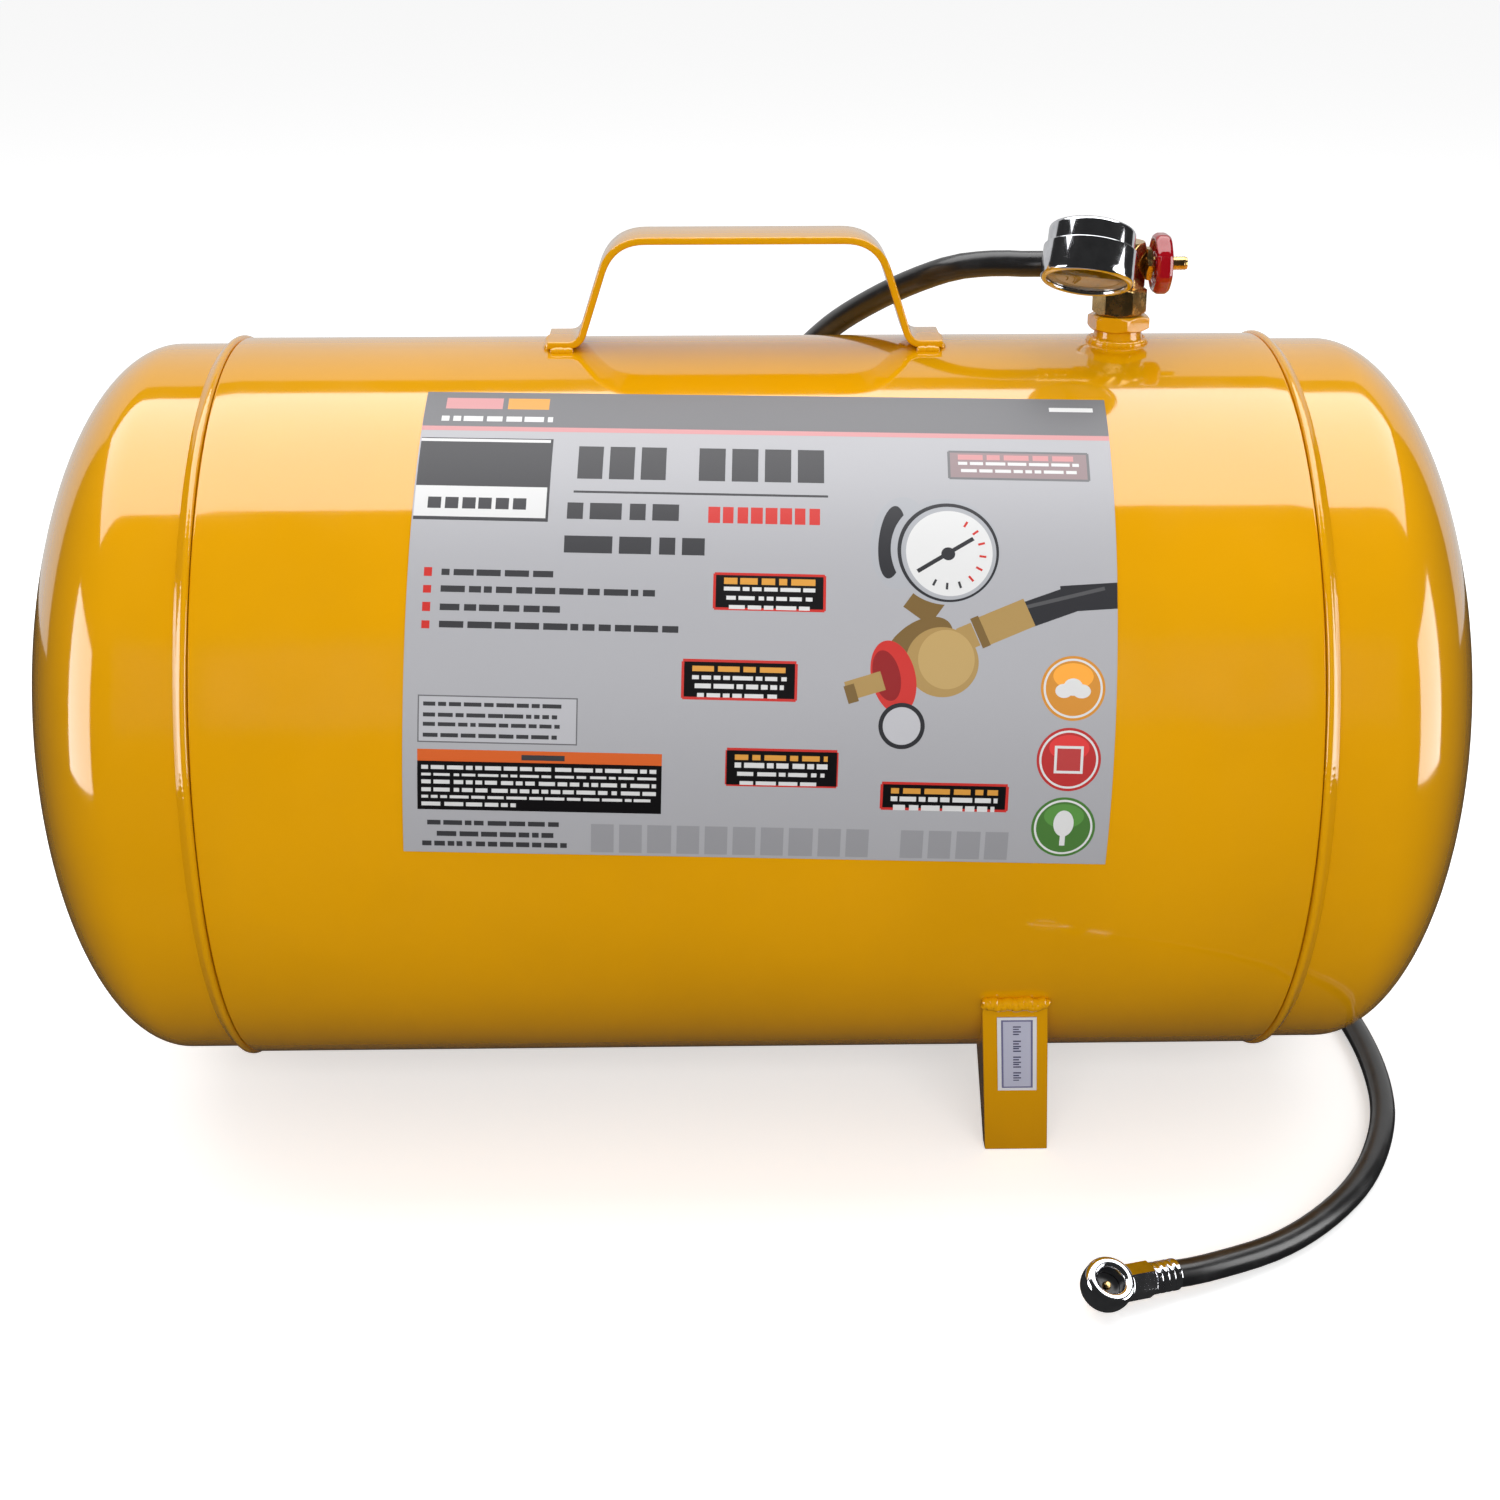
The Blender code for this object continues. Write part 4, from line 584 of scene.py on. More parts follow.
def strap_path():
    """Middle line of the handle's strap in XZ: tab, leg, bar, leg, tab, each bend a quadratic curve."""
    half = STRAP_THICKNESS / 2
    height = HANDLE_HEIGHT - GAP
    slope = height / (HANDLE_BASE_HALF - HANDLE_TOP_HALF)
    lean = half * sqrt(1 + 1 / slope ** 2)
    ankle = HANDLE_BASE_HALF - half / slope - lean
    crown = HANDLE_TOP_HALF + half / slope - lean
    right = [(HANDLE_BASE_HALF + HANDLE_TAB, half), (ankle, half), (crown, height - half)]
    corners = right + [(-x, z) for x, z in reversed(right)]
    x, z = rounded(corners, [ANKLE_BEND, CROWN_BEND, CROWN_BEND, ANKLE_BEND], 10).T
    return np.stack([x + HANDLE_X, 0 * x, z + TANK_TOP + GAP], axis=-1)


def oval_section(width, thick, edge, steps=5):
    """A rectangle with round corners of radius edge, about its middle."""
    t = np.linspace(0, pi / 2, steps + 1)
    corner = np.stack([np.cos(t), np.sin(t)], axis=-1) * edge
    x, y = width / 2 - edge, thick / 2 - edge
    quarters = []
    for k, (sx, sy) in enumerate(((x, y), (-x, y), (-x, -y), (x, -y))):
        c, s = cos(k * pi / 2), sin(k * pi / 2)
        quarters.append(corner @ np.array([[c, s], [-s, c]]) + [sx, sy])
    return np.concatenate(quarters)


def build_handle():
    path = frames_along(strap_path(), (0.0, 0.0, 1.0))
    side = np.broadcast_to(np.array([0.0, 1.0, 0.0]), path[:, :, 0].shape)
    up = np.cross(path[:, :, 2], side)
    path = np.stack([side, up, path[:, :, 2], path[:, :, 3]], axis=-1)
    outline = oval_section(STRAP_WIDTH, STRAP_THICKNESS, sizes().strap_edge)
    section = np.broadcast_to(outline, (len(path), *outline.shape))
    dress(swept("carry_handle", path, section), "yellow_paint", replaces=["handle"])
    for name, sign in (("right", 1), ("left", -1)):
        tip = HANDLE_X + sign * (HANDLE_BASE_HALF + HANDLE_TAB)
        for end, y in (("front", -1), ("back", 1)):
            line = weld_line(tip - sign * 0.0105, tip - sign * 0.0010, y * 0.0152)
            build_bead(f"handle_{name}_{end}_weld", line, 0.0016)
        build_bead(f"handle_{name}_end_weld", cross_line(tip, 0.0125), 0.0017)


def shell_height(y):
    """Height of the shell's upper side at side offset y: z = axis + sqrt(R^2 - y^2)."""
    return AXIS_HEIGHT + np.sqrt(TANK_RADIUS ** 2 - y ** 2)


def weld_line(x0, x1, y):
    """A straight run along the tank at side offset y, lying on the shell."""
    x = np.linspace(x0, x1, 40)
    return np.stack([x, np.full_like(x, y), np.full_like(x, shell_height(y) + 0.0004)], axis=-1)


def cross_line(x, half):
    """A run across the tank at x, following the shell's curve."""
    y = np.linspace(-half, half, 60)
    return np.stack([np.full_like(y, x), y, shell_height(y) + 0.0005], axis=-1)


def build_bead(name, line, radius, up=(0.0, 0.0, 1.0), replaces=()):
    """A weld bead: a round section along a line, that swells at every ripple and tapers at its ends."""
    line = np.asarray(line, float)
    length = np.linalg.norm(np.diff(line, axis=0), axis=1).sum()
    t = np.linspace(0, 1, len(line))
    swell = 1 + 0.13 * np.abs(np.cos(pi * t * length / sizes().ripple)) + 0.08 * np.sin(11 * t + 1)
    taper = np.sqrt(np.clip(1 - np.abs(2 * t - 1) ** 8, 0.05, 1))
    a = np.linspace(0, 2 * pi, 16, endpoint=False)
    section = np.stack([np.cos(a), np.sin(a)], axis=-1)
    sections = section[None] * (radius * swell * taper)[:, None, None]
    bead = swept(name, frames_along(line, up), sections, smooth=50)
    return dress(bead, "yellow_paint", replaces=replaces)


def build_feet():
    for node in ("front_foot", "rear_right_foot", "rear_left_foot"):
        dress(softened(f"{node}_bracket", node, 0.0006, 3), "yellow_paint", replaces=[node])
        low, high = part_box(f"{node}_weld")
        middle_y, middle_z = (low.y + high.y) / 2, (low.z + high.z) / 2
        sign = -1 if middle_y < 0 else 1
        x = np.linspace(low.x + 0.0012, high.x - 0.0012, 90)
        wander = 0.00035 * np.sin(x * 900) + 0.0002 * np.sin(x * 2300)
        line = np.stack([x, np.full_like(x, middle_y - sign * 0.0002), middle_z + wander], axis=-1)
        build_bead(f"{node}_fillet", line, 0.0026, up=(0.0, sign * 0.57, 0.82), replaces=[f"{node}_weld"])


# Print

MM = 0.001

LABEL_X = 0.0016
LABEL_LENGTH = 0.2640
LABEL_HEIGHT = 0.1946
LABEL_ANGLE = radians(32.1)
LABEL_TWIST = radians(-1.77)
LABEL_THICKNESS = 0.0003

WHITE = (0.72, 0.72, 0.72)
GREY = (0.045, 0.045, 0.05)
MID_GREY = (0.16, 0.16, 0.17)
BLACK = (0.006, 0.005, 0.006)
SIGNAL_RED = (0.60, 0.028, 0.022)
PINK = (0.62, 0.28, 0.29)
AMBER = (0.72, 0.33, 0.05)
ORANGE = (0.70, 0.12, 0.015)
GHOST = (0.33, 0.33, 0.35)


def words(random, start, end, top, height, colour, em):
    """A line of greeked words: bars of random length with word spaces, from start to end in millimetres."""
    made = []
    x = start
    while x < end - em:
        length = min(em * random.integers(2, 7), end - x)
        made.append((x, top, x + length, top + height, colour))
        x += length + em * 0.9
    return made


def letters(start, top, count, width, height, gap, colour):
    """A greeked headline word: equal blocks."""
    return [(start + k * (width + gap), top, start + k * (width + gap) + width, top + height, colour)
            for k in range(count)]


def callout(random, left, top, width, height, ground, border, heading):
    """A small caption box: coloured border, dark ground, a heading bar and one or two lines."""
    made = [(left + 0.7, top, left + width - 0.7, top + height, border),
            (left, top + 0.7, left + width, top + height - 0.7, border),
            (left + 0.9, top + 0.9, left + width - 0.9, top + height - 0.9, ground)]
    made += words(random, left + 4, left + width - 4, top + 2.2, 2.2, heading, 1.6)
    for k in range(1, int((height - 3.5) // 3.6) + 1):
        made += words(random, left + 3 + k, left + width - 3 - k, top + 2.2 + 3.4 * k, 1.6, WHITE, 1.2)
    return made


def label_art():
    """Rectangles of the label's print, bottom first: left, top, right, bottom in mm, and colour."""
    random = np.random.default_rng(11)
    art = [(0, 0, 264, 21.5, MID_GREY), (0, 21.5, 264, 24, PINK), (8, 4, 30, 11, PINK),
           (32, 4, 48, 11, AMBER),
           (242, 5.5, 259, 8, WHITE)]
    art += words(random, 7, 50, 15.5, 3, WHITE, 1.5)
    art += [(0.5, 28, 51, 67, GREY), (0.5, 28.6, 50.2, 30, WHITE), (0.5, 52, 50.2, 65.5, WHITE)]
    art += letters(5.5, 57, 6, 5, 5, 1.4, GREY)
    art += letters(61, 31.5, 3, 9.5, 16, 2.5, GREY) + letters(107, 31.5, 4, 10, 16, 2.5, GREY)
    art += [(60, 53.2, 156, 54.2, GREY)]
    art += words(random, 58, 100, 58.5, 7, GREY, 3.0) + letters(111, 59, 8, 4.3, 7, 1.1, SIGNAL_RED)
    art += words(random, 57.5, 110, 72.5, 7, GREY, 3.0)
    for k, end in enumerate((54, 93, 57, 103)):
        top = 86.6 + 6.75 * k
        art.append((6, top, 9.2, top + 3.2, SIGNAL_RED))
        art += words(random, 12.5, end, top + 0.3, 2.6, GREY, 1.5)
    art += callout(random, 201.5, 30.5, 54, 14, (0.30, 0.22, 0.23), MID_GREY, PINK)
    boxes = ((113.5, 86, 42, 14.5), (102.5, 119.2, 43, 14.8), (119.2, 151.6, 42.5, 14.6),
             (177.4, 163.2, 48.2, 10.8))
    for left, top, width, height in boxes:
        art += callout(random, left, top, width, height, BLACK, SIGNAL_RED, AMBER)
    art += [(5.4, 134.4, 64.4, 152, MID_GREY), (5.8, 134.8, 64, 151.6, (0.50, 0.50, 0.53))]
    for k in range(4):
        art += words(random, 7.5, 60 - 3 * (k % 2), 137 + 3.8 * k, 1.6, GREY, 1.1)
    art += [(5.4, 154.6, 96, 159, ORANGE), (44, 155.9, 60, 157.8, GREY), (5.4, 159, 96, 177.6, BLACK)]
    for k in range(6):
        art += words(random, 7, 94 if k < 5 else 42, 160.6 + 2.8 * k, 1.3, WHITE, 1.2)
    for left, right, top in ((9, 58, 181.8), (12.5, 56, 186.2), (7, 61, 190.2)):
        art += words(random, left, right, top, 1.9, GREY, 1.2)
    art += letters(70, 182, 10, 8.6, 11.5, 2.0, GHOST) + letters(186, 182, 4, 8.6, 11.5, 2.0, GHOST)
    return art


def print_mesh(name, surface, length, height, step, art, ground, thickness):
    """A closed film cut into cells along the edges of its print, each cell in its own colour.

    surface(u, v, lift) gives the place of u along, v up and lift off the surface, from the middle."""
    xs = {0.0, length}
    ys = set(np.linspace(0, height, 61).tolist())
    for left, top, right, bottom, _ in art:
        xs.update(round(min(v * MM, length) / step) * step for v in (left, right))
        ys.update(round(min(v * MM, height) / step) * step for v in (top, bottom))
    xs.update(np.linspace(0, length, 41).tolist())

    def spaced(values, end):
        kept = [0.0]
        for v in sorted(values):
            if v - kept[-1] > step * 0.45 and end - v > step * 0.45:
                kept.append(v)
        return np.array(kept + [end])

    xs, ys = spaced(xs, length), spaced(ys, height)
    middle_x, middle_y = (xs[1:] + xs[:-1]) / 2, (ys[1:] + ys[:-1]) / 2
    cells = np.empty((len(middle_y), len(middle_x), 3))
    cells[:] = ground
    for left, top, right, bottom, colour in art:
        inside = (((middle_y > top * MM) & (middle_y < bottom * MM))[:, None]
                  & ((middle_x > left * MM) & (middle_x < right * MM))[None, :])
        cells[inside] = colour
    u, v = np.meshgrid(xs - length / 2, height / 2 - ys)
    rows, columns = u.shape
    front = surface(u, v, thickness).reshape(-1, 3)
    back = surface(u, v, 0.0).reshape(-1, 3)
    quads = grid_faces(rows, columns)
    i, j = np.arange(rows), np.arange(columns)
    last_row, last_column = (rows - 1) * columns, columns - 1
    rim = np.concatenate([j, i[1:] * columns + last_column, last_row + j[-2::-1], i[-2:0:-1] * columns])
    after = np.roll(rim, -1)
    total = rows * columns
    sides = np.stack([rim, after, after + total, rim + total], axis=-1)
    faces = np.concatenate([quads[:, ::-1], quads + total, sides[:, ::-1]])
    mesh = bpy.data.meshes.new(name)
    mesh.from_pydata(np.concatenate([front, back]).tolist(), [], faces.tolist())
    tint = np.concatenate([cells.reshape(-1, 3), np.tile(ground, (len(faces) - cells.size // 3, 1))])
    tint = np.concatenate([tint, np.ones((len(tint), 1))], axis=1)
    layer = mesh.color_attributes.new(name="print", type="FLOAT_COLOR", domain="CORNER")
    layer.data.foreach_set("color", np.repeat(tint, 4, axis=0).astype(np.float32).ravel())
    flat = np.stack([u.ravel() + length / 2, height / 2 - v.ravel()], axis=-1)
    lay_uv(mesh, np.concatenate([flat, flat]) * 1000)
    return shaded(name, mesh, 40)


def on_shell(u, v, lift):
    """The film turned by its twist, then wrapped round the tank: x = along, angle = round / radius."""
    x = u * cos(LABEL_TWIST) - v * sin(LABEL_TWIST) + LABEL_X
    angle = LABEL_ANGLE + (u * sin(LABEL_TWIST) + v * cos(LABEL_TWIST)) / TANK_RADIUS
    radius = TANK_RADIUS + GAP + lift
    return np.stack([x, -radius * np.cos(angle), AXIS_HEIGHT + radius * np.sin(angle)], axis=-1)


def printed_film(name, shapes):
    """Print from the mesh's colours, with round shapes laid over it, under a soft gloss; the print is
    painted lighter at the top and darker at the bottom, as painted light and shade.
    """
    board = Board(name)
    where = board.uv()
    tint = board.node("ShaderNodeAttribute", attribute_name="print", attribute_type="GEOMETRY")
    split = board.node("ShaderNodeSeparateXYZ", {"Vector": where})
    # Painted light and shade: the print's colours are scaled from 1.05 at the top edge to 0.93 at the bottom
    # edge.
    sheen = board.spread(split.outputs["Y"], 0.0, 195.0, 1.05, 0.93)
    ink = board.node("ShaderNodeVectorMath", {0: tint.outputs["Color"], "Scale": sheen}, operation="SCALE")
    ink = ink.outputs["Vector"]
    for colour, centre, half, turn, square in shapes:
        ink = board.mix(board.patch(where, centre, half, turn, square), ink, colour)
    grain = board.noise(board.object_coordinates(), 0.0012, 2.0)
    board.set(Base_Color=ink, Roughness=0.42, Normal=board.bump(grain, 0.04, 0.00002), IOR=1.38)
    return board.material


def oval(colour, x, y, half_x, half_y, degrees=0.0):
    return colour, (x, y), (half_x, half_y), radians(degrees), False


def block(colour, x, y, half_x, half_y, degrees=0.0):
    return colour, (x, y), (half_x, half_y), radians(degrees), True


def ring_of(colour, ground, x, y, outer, inner):
    return [oval(colour, x, y, outer, outer), oval(ground, x, y, inner, inner)]


def valve_picture():
    """A valve with its knob and a length of hose, as on the label, and a gauge above it."""
    chrome, dark, face = (0.42, 0.43, 0.46), (0.03, 0.03, 0.035), (0.74, 0.74, 0.74)
    brass, deep_brass, pale_brass = (0.42, 0.27, 0.09), (0.20, 0.12, 0.035), (0.52, 0.35, 0.13)
    shapes = [
        block(dark, 258.0, 92.0, 15.0, 5.0, -5), block(dark, 236.0, 97.5, 14.0, 5.0, -21),
        block((0.09, 0.09, 0.095), 240.0, 94.0, 20.0, 0.7, -15),
        block(brass, 222.5, 102.5, 9.5, 5.6, -24), block(deep_brass, 213.0, 106.5, 1.6, 6.0, -24),
        block(brass, 208.5, 108.5, 3.0, 4.6, -24), block(deep_brass, 192.0, 97.0, 6.0, 5.0, 35),
        oval(deep_brass, 190.0, 113.0, 15.0, 9.0, -40), oval(brass, 199.0, 118.0, 13.5, 13.0),
        oval(pale_brass, 200.5, 117.0, 10.5, 11.0), oval(SIGNAL_RED, 181.0, 124.0, 8.2, 13.8, -14),
        oval((0.30, 0.01, 0.012), 178.5, 123.5, 5.0, 9.5, -14),
        block(brass, 170.5, 127.5, 7.0, 3.6, -18), block(deep_brass, 165.5, 130.5, 2.0, 3.4, -18),
        *ring_of(dark, (0.52, 0.52, 0.55), 184.5, 142.0, 8.6, 7.0),
        oval(chrome, 183.0, 72.0, 11.0, 19.0, 6), oval(dark, 180.0, 72.0, 5.0, 15.0, 6),
        oval(chrome, 200.0, 75.0, 20.5, 21.5), oval(dark, 201.0, 75.5, 19.0, 20.0),
        oval(chrome, 201.2, 75.8, 17.8, 18.8), oval(face, 201.4, 76.0, 16.2, 17.2),
    ]
    for k in range(9):
        degrees = -60 + 22 * k
        turn = radians(degrees)
        colour = SIGNAL_RED if k < 6 else GREY
        shapes.append(block(colour, 201.4 + 12.6 * cos(turn), 76.0 + 13.4 * sin(turn), 1.3, 0.45, degrees))
    return shapes + [block(dark, 200.0, 77.0, 12.5, 0.8, -33), oval(dark, 201.0, 76.6, 2.6, 2.6)]


def label_shapes():
    """The label's picture and its round badges, in millimetres from the top left corner."""
    shapes = valve_picture()
    badges = ((247.8, 126.6, (0.66, 0.27, 0.03), cloud_mark),
              (247.2, 153.2, (0.50, 0.03, 0.03), square_mark),
              (246.8, 179.6, (0.07, 0.20, 0.04), tree_mark))
    for x, y, colour, mark in badges:
        shapes += ring_of(colour, WHITE, x, y, 12.0, 11.0)
        shapes.append(oval(colour, x, y, 10.2, 10.2))
        shapes.append(oval(tuple(c * 1.5 for c in colour), x, y - 4.5, 7.5, 4.8))
        shapes += mark(x, y)
    return shapes


def cloud_mark(x, y):
    return [oval(WHITE, x - 3.4, y + 1.0, 3.2, 2.6), oval(WHITE, x + 3.2, y + 1.0, 3.4, 2.6),
            oval(WHITE, x, y - 0.5, 3.6, 3.2)]


def square_mark(x, y):
    return [block(WHITE, x, y, 5.4, 5.2), block((0.50, 0.05, 0.05), x, y, 4.4, 4.2)]


def tree_mark(x, y):
    return [oval(WHITE, x, y - 1.6, 3.8, 5.2), block(WHITE, x, y + 4.8, 1.0, 2.6)]


def build_label():
    film = print_mesh("front_print", on_shell, LABEL_LENGTH, LABEL_HEIGHT, sizes().print_step, label_art(),
                      tuple(colours().film), LABEL_THICKNESS)
    dress(film, "label_film", replaces=["front_label"])
    film.data.materials[0] = printed_film("label_print", label_shapes())


STICKER_TILT = radians(19.9)  # of the front foot's face from upright
STICKER_SPLAY = 0.0074 / (0.173 - 0.0881)  # sideways lean of the front foot, per height
STICKER_WIDTH = 16
STICKER_HEIGHT = 44


def build_sticker():
    down = np.array([STICKER_SPLAY * cos(STICKER_TILT), sin(STICKER_TILT), -cos(STICKER_TILT)])
    out = np.array([0.0, -cos(STICKER_TILT), -sin(STICKER_TILT)])
    across = np.array([1.0, 0.0, 0.0])
    co = np.array([v.co for v in FRAME["nodes"]["foot_label"].data.vertices], float)
    middle = (co.min(0) + co.max(0)) / 2

    def surface(u, v, lift):
        """Flat: p = middle + u across - v down + (lift - half the film) out."""
        return middle + u[..., None] * across - v[..., None] * down + (lift - LABEL_THICKNESS / 2) * out

    ink, lilac, violet = (0.055, 0.055, 0.13), (0.52, 0.53, 0.66), (0.16, 0.16, 0.30)
    random = np.random.default_rng(4)
    art = [(0, 0, STICKER_WIDTH, STICKER_HEIGHT, (0.78, 0.78, 0.80)), (1.6, 1.6, 14.4, 42.4, violet),
           (2.4, 2.4, 13.6, 41.6, lilac)]
    x = 6.3
    y = 5.0
    while y < 38:
        length = min(random.integers(4, 9), 39 - y)
        for k in range(int(length // 1.5)):
            art.append((x, y + k * 1.5, x + 3.4 - 0.9 * (k % 2), y + k * 1.5 + 0.8, ink))
        y += length + 1.6
    film = print_mesh("foot_sticker", surface, STICKER_WIDTH * MM, STICKER_HEIGHT * MM, 0.0004, art, lilac,
                      LABEL_THICKNESS)
    dress(film, "label_film", replaces=["foot_label"])
    film.data.materials[0] = printed_film("sticker_print", [])


# Manifold

BUNG_RADIUS = 0.0112
CRIMP_DEPTH = 0.0006
THREAD_DEPTH = 0.00014
THREAD_PITCH = 0.00075
LOBES = 8
LOBE_DEPTH = 0.0006
TICKS = 25
RING_RADIUS = 0.0095
RING_WIRE = 0.0009


def build_manifold():
    neck = rounded([(0.0, -0.004), (BUNG_RADIUS, -0.004), (0.0106, 0.0004), (0.0098, 0.0026),
                    (0.0096, 0.0056), (0.0, 0.0056)], 0.0012)
    dress(turned("bung_neck", neck, STAND, 96), "yellow_paint", replaces=["tank_bung"])
    dress(wrench_solid("bung_hex", 0.0225, 0.0050, 0.0110, STAND, turn=radians(8)), "yellow_paint")
    a = np.linspace(0, 2 * pi, 140, endpoint=False)
    y = BUNG_RADIUS * np.sin(a)
    ring = np.stack([BUNG_X + BUNG_RADIUS * np.cos(a), y, shell_height(y) + 0.0003], axis=-1)
    build_bead("bung_weld", np.vstack([ring, ring[:3]]), 0.0017)
    dress(wrench_solid("manifold_collar", 0.0190, 0.0113, 0.0222, STAND, turn=radians(20)), "brass",
          replaces=["manifold_body"])
    dress(wrench_solid("manifold_block", 0.0185, 0.0212, 0.0405, STAND, sides=8, chamfer=0.9), "brass")
    boss_end = (GAUGE_PORT - GAUGE_CENTRE).length
    boss = rounded([(0.0, 0.0226), (0.0052, 0.0226), (0.0052, boss_end), (0.0, boss_end)], 0.0005)
    dress(turned("gauge_boss", boss, GAUGE_WAY, 64), "brass")
    end = BODY_HALF + RELIEF_PROUD
    relief = rounded([(0.0, 0.0045), (0.0065, 0.0045), (0.0065, end), (0.0, end)], 0.0005)
    dress(turned("relief_boss", relief, RELIEF, 64), "brass")


def crimped(start, length, radius, inner):
    """A sleeve with shallow crimps: r dips in a bell curve at each quarter of its length and at its ends."""
    s = np.linspace(0, 1, 60)
    dip = sum(np.exp(-((s - c) / 0.035) ** 2) for c in (0.25, 0.5, 0.75))
    ends = np.exp(-(s / 0.02) ** 2), np.exp(-((1 - s) / 0.02) ** 2)
    r = radius - CRIMP_DEPTH * dip - CRIMP_DEPTH * ends[0] - CRIMP_DEPTH * ends[1]
    outer = np.stack([r, start + length * s], axis=-1)
    return np.concatenate([[(inner, start)], outer, [(inner, start + length)]])


def build_hose_fitting():
    face = BODY_HALF + GAP
    end = face + HOSE_HEX_LENGTH
    dress(wrench_solid("hose_hex", 0.0140, face, end, HOSE_PORT), "brass", replaces=["hose_fitting"])
    sleeve = crimped(end + GAP, FERRULE_LENGTH, 0.0066, 0.0034)
    dress(turned("hose_crimp_sleeve", sleeve, HOSE_PORT, 72), "brass", replaces=["hose_ferrule"])


def finer(outline, count):
    """The outline at count even steps from its first point to its last, with those two doubled."""
    old, new = np.linspace(0, 1, len(outline)), np.linspace(0, 1, count)
    even = np.stack([np.interp(new, old, outline[:, k]) for k in (0, 1)], axis=-1)
    return np.concatenate([outline[:1], even, outline[-1:]])


def build_valve():
    face = BODY_HALF + GAP
    bonnet = wrench_solid("bonnet_hex", 0.0125, face, face + 0.0026, PORT, bore=0.0031, chamfer=0.2)
    dress(bonnet, "brass", replaces=["valve_bonnet"])
    spindle = rounded([(0.0, -0.0020), (0.0030, -0.0020), (0.0030, 0.0195), (0.0027, 0.0200),
                       (0.0027, 0.0258), (0.0023, 0.0268), (0.0019, 0.0268), (0.0019, 0.0050),
                       (0.0, 0.0050)], 0.0003)

    def thread(a, r, h):
        """Turns of a fine thread: r dips by THREAD_DEPTH once in every THREAD_PITCH of height."""
        screwed = (h > 0.0201) & (h < 0.0257) & (r > 0.0024)
        return r - THREAD_DEPTH * screwed * (0.5 + 0.5 * np.cos(2 * pi * h / THREAD_PITCH + a)), h

    stem = turned("fill_spindle", finer(spindle, 400), PORT, 64, thread)
    dress(stem, "brass", "spindle", ["valve_spindle"])
    build_wheel()
    nut = wrench_solid("wheel_nut", 0.0085, 0.0174, 0.0194, PORT, bore=0.0033, chamfer=0.2)
    dress(nut, "spring_steel", "spindle", ["handwheel_nut"])


def build_wheel():
    """Handwheel: a lobed rim that joins a thin web and a hub. The rim's radius waves eight times round."""
    low, high = 0.0127, 0.0193
    middle = (low + high) / 2
    bore, rim, outside = 0.0033, 0.0091, 0.0125
    corners = [(bore, low + 0.0004), (0.0050, low + 0.0004), (0.0050, middle - 0.0011),
               (rim, middle - 0.0011), (rim, low + 0.0010), (0.0101, low), (0.0113, low),
               (outside, low + 0.0016), (outside, high - 0.0016), (0.0113, high), (0.0101, high),
               (rim, high - 0.0010), (rim, middle + 0.0011), (bore, middle + 0.0011)]

    def lobes(a, r, h):
        share = np.clip((r - 0.0100) / 0.0025, 0, 1)
        return r - LOBE_DEPTH * share * (0.5 + 0.5 * np.cos(LOBES * a)), h

    wheel = turned("valve_handwheel", rounded(corners, 0.0006), PORT, 160, lobes)
    dress(wheel, "red_enamel", "spindle", ["handwheel"])


def build_gauge():
    r, front, back = 0.0185, 0.0115, -0.0115
    bezel = rounded([(r - 0.0009, -0.0020), (r, -0.0020), (r, 0.0078), (r - 0.0002, front - 0.0010),
                     (r - 0.0010, front), (r - 0.0024, front), (r - 0.0030, front - 0.0014),
                     (r - 0.0009, front - 0.0014)], 0.0005)
    dress(turned("gauge_rim", bezel, GAUGE, 144), "chrome", replaces=["gauge_bezel"])
    case = rounded([(0.0, back), (0.0135, back), (0.0172, back + 0.0016), (0.0172, 0.0081),
                    (0.0163, 0.0081), (0.0163, back + 0.0020), (0.0150, back + 0.0009),
                    (0.0, back + 0.0009)], 0.0012)
    dress(turned("gauge_cup", case, GAUGE, 144), "chrome", replaces=["gauge_case"])
    lens = rounded([(0.0, 0.0086), (0.0168, 0.0086), (0.0168, 0.0100), (0.0, 0.0106)], 0.0002)
    dress(turned("gauge_window", lens, GAUGE, 96), "lens_clear", replaces=["gauge_lens"])
    card = rounded([(0.0012, 0.0050), (0.0160, 0.0050), (0.0160, 0.0056), (0.0012, 0.0056)], 0.0001)
    dial = dress(turned("gauge_face_card", card, GAUGE, 96), "dial_white", replaces=["gauge_dial"])
    dial.data.materials[0] = dial_print()
    stem = wrench_solid("gauge_stem_hex", 0.0098, 0.0189, 0.0223, GAUGE_WAY)
    dress(stem, "brass", replaces=["gauge_socket"])
    neck = rounded([(0.0, 0.0130), (0.0046, 0.0130), (0.0046, 0.0192), (0.0, 0.0192)], 0.0003)
    dress(turned("gauge_stem_neck", neck, GAUGE_WAY, 48), "brass")


def dial_print():
    """White card with a scale of ticks round three quarters of it; the top is away from the stem."""
    board = Board("dial_scale")
    where = board.uv()
    ink = (0.86, 0.86, 0.84)
    colour = board.mix(board.noise(board.object_coordinates(), 0.004), tuple(v * 0.96 for v in ink), ink)
    for k in range(TICKS + 1):
        turn = pi + radians(135 - 270 * k / TICKS)
        big = k % 5 == 0
        reach = 0.0125 if big else 0.0131
        size = (0.0016 if big else 0.0009, 0.00022)
        mark = board.patch(where, (reach * cos(turn), reach * sin(turn)), size, turn, True)
        colour = board.mix(mark, colour, SIGNAL_RED if k > 18 else BLACK)
    board.set(Base_Color=colour, Roughness=0.5)
    return board.material


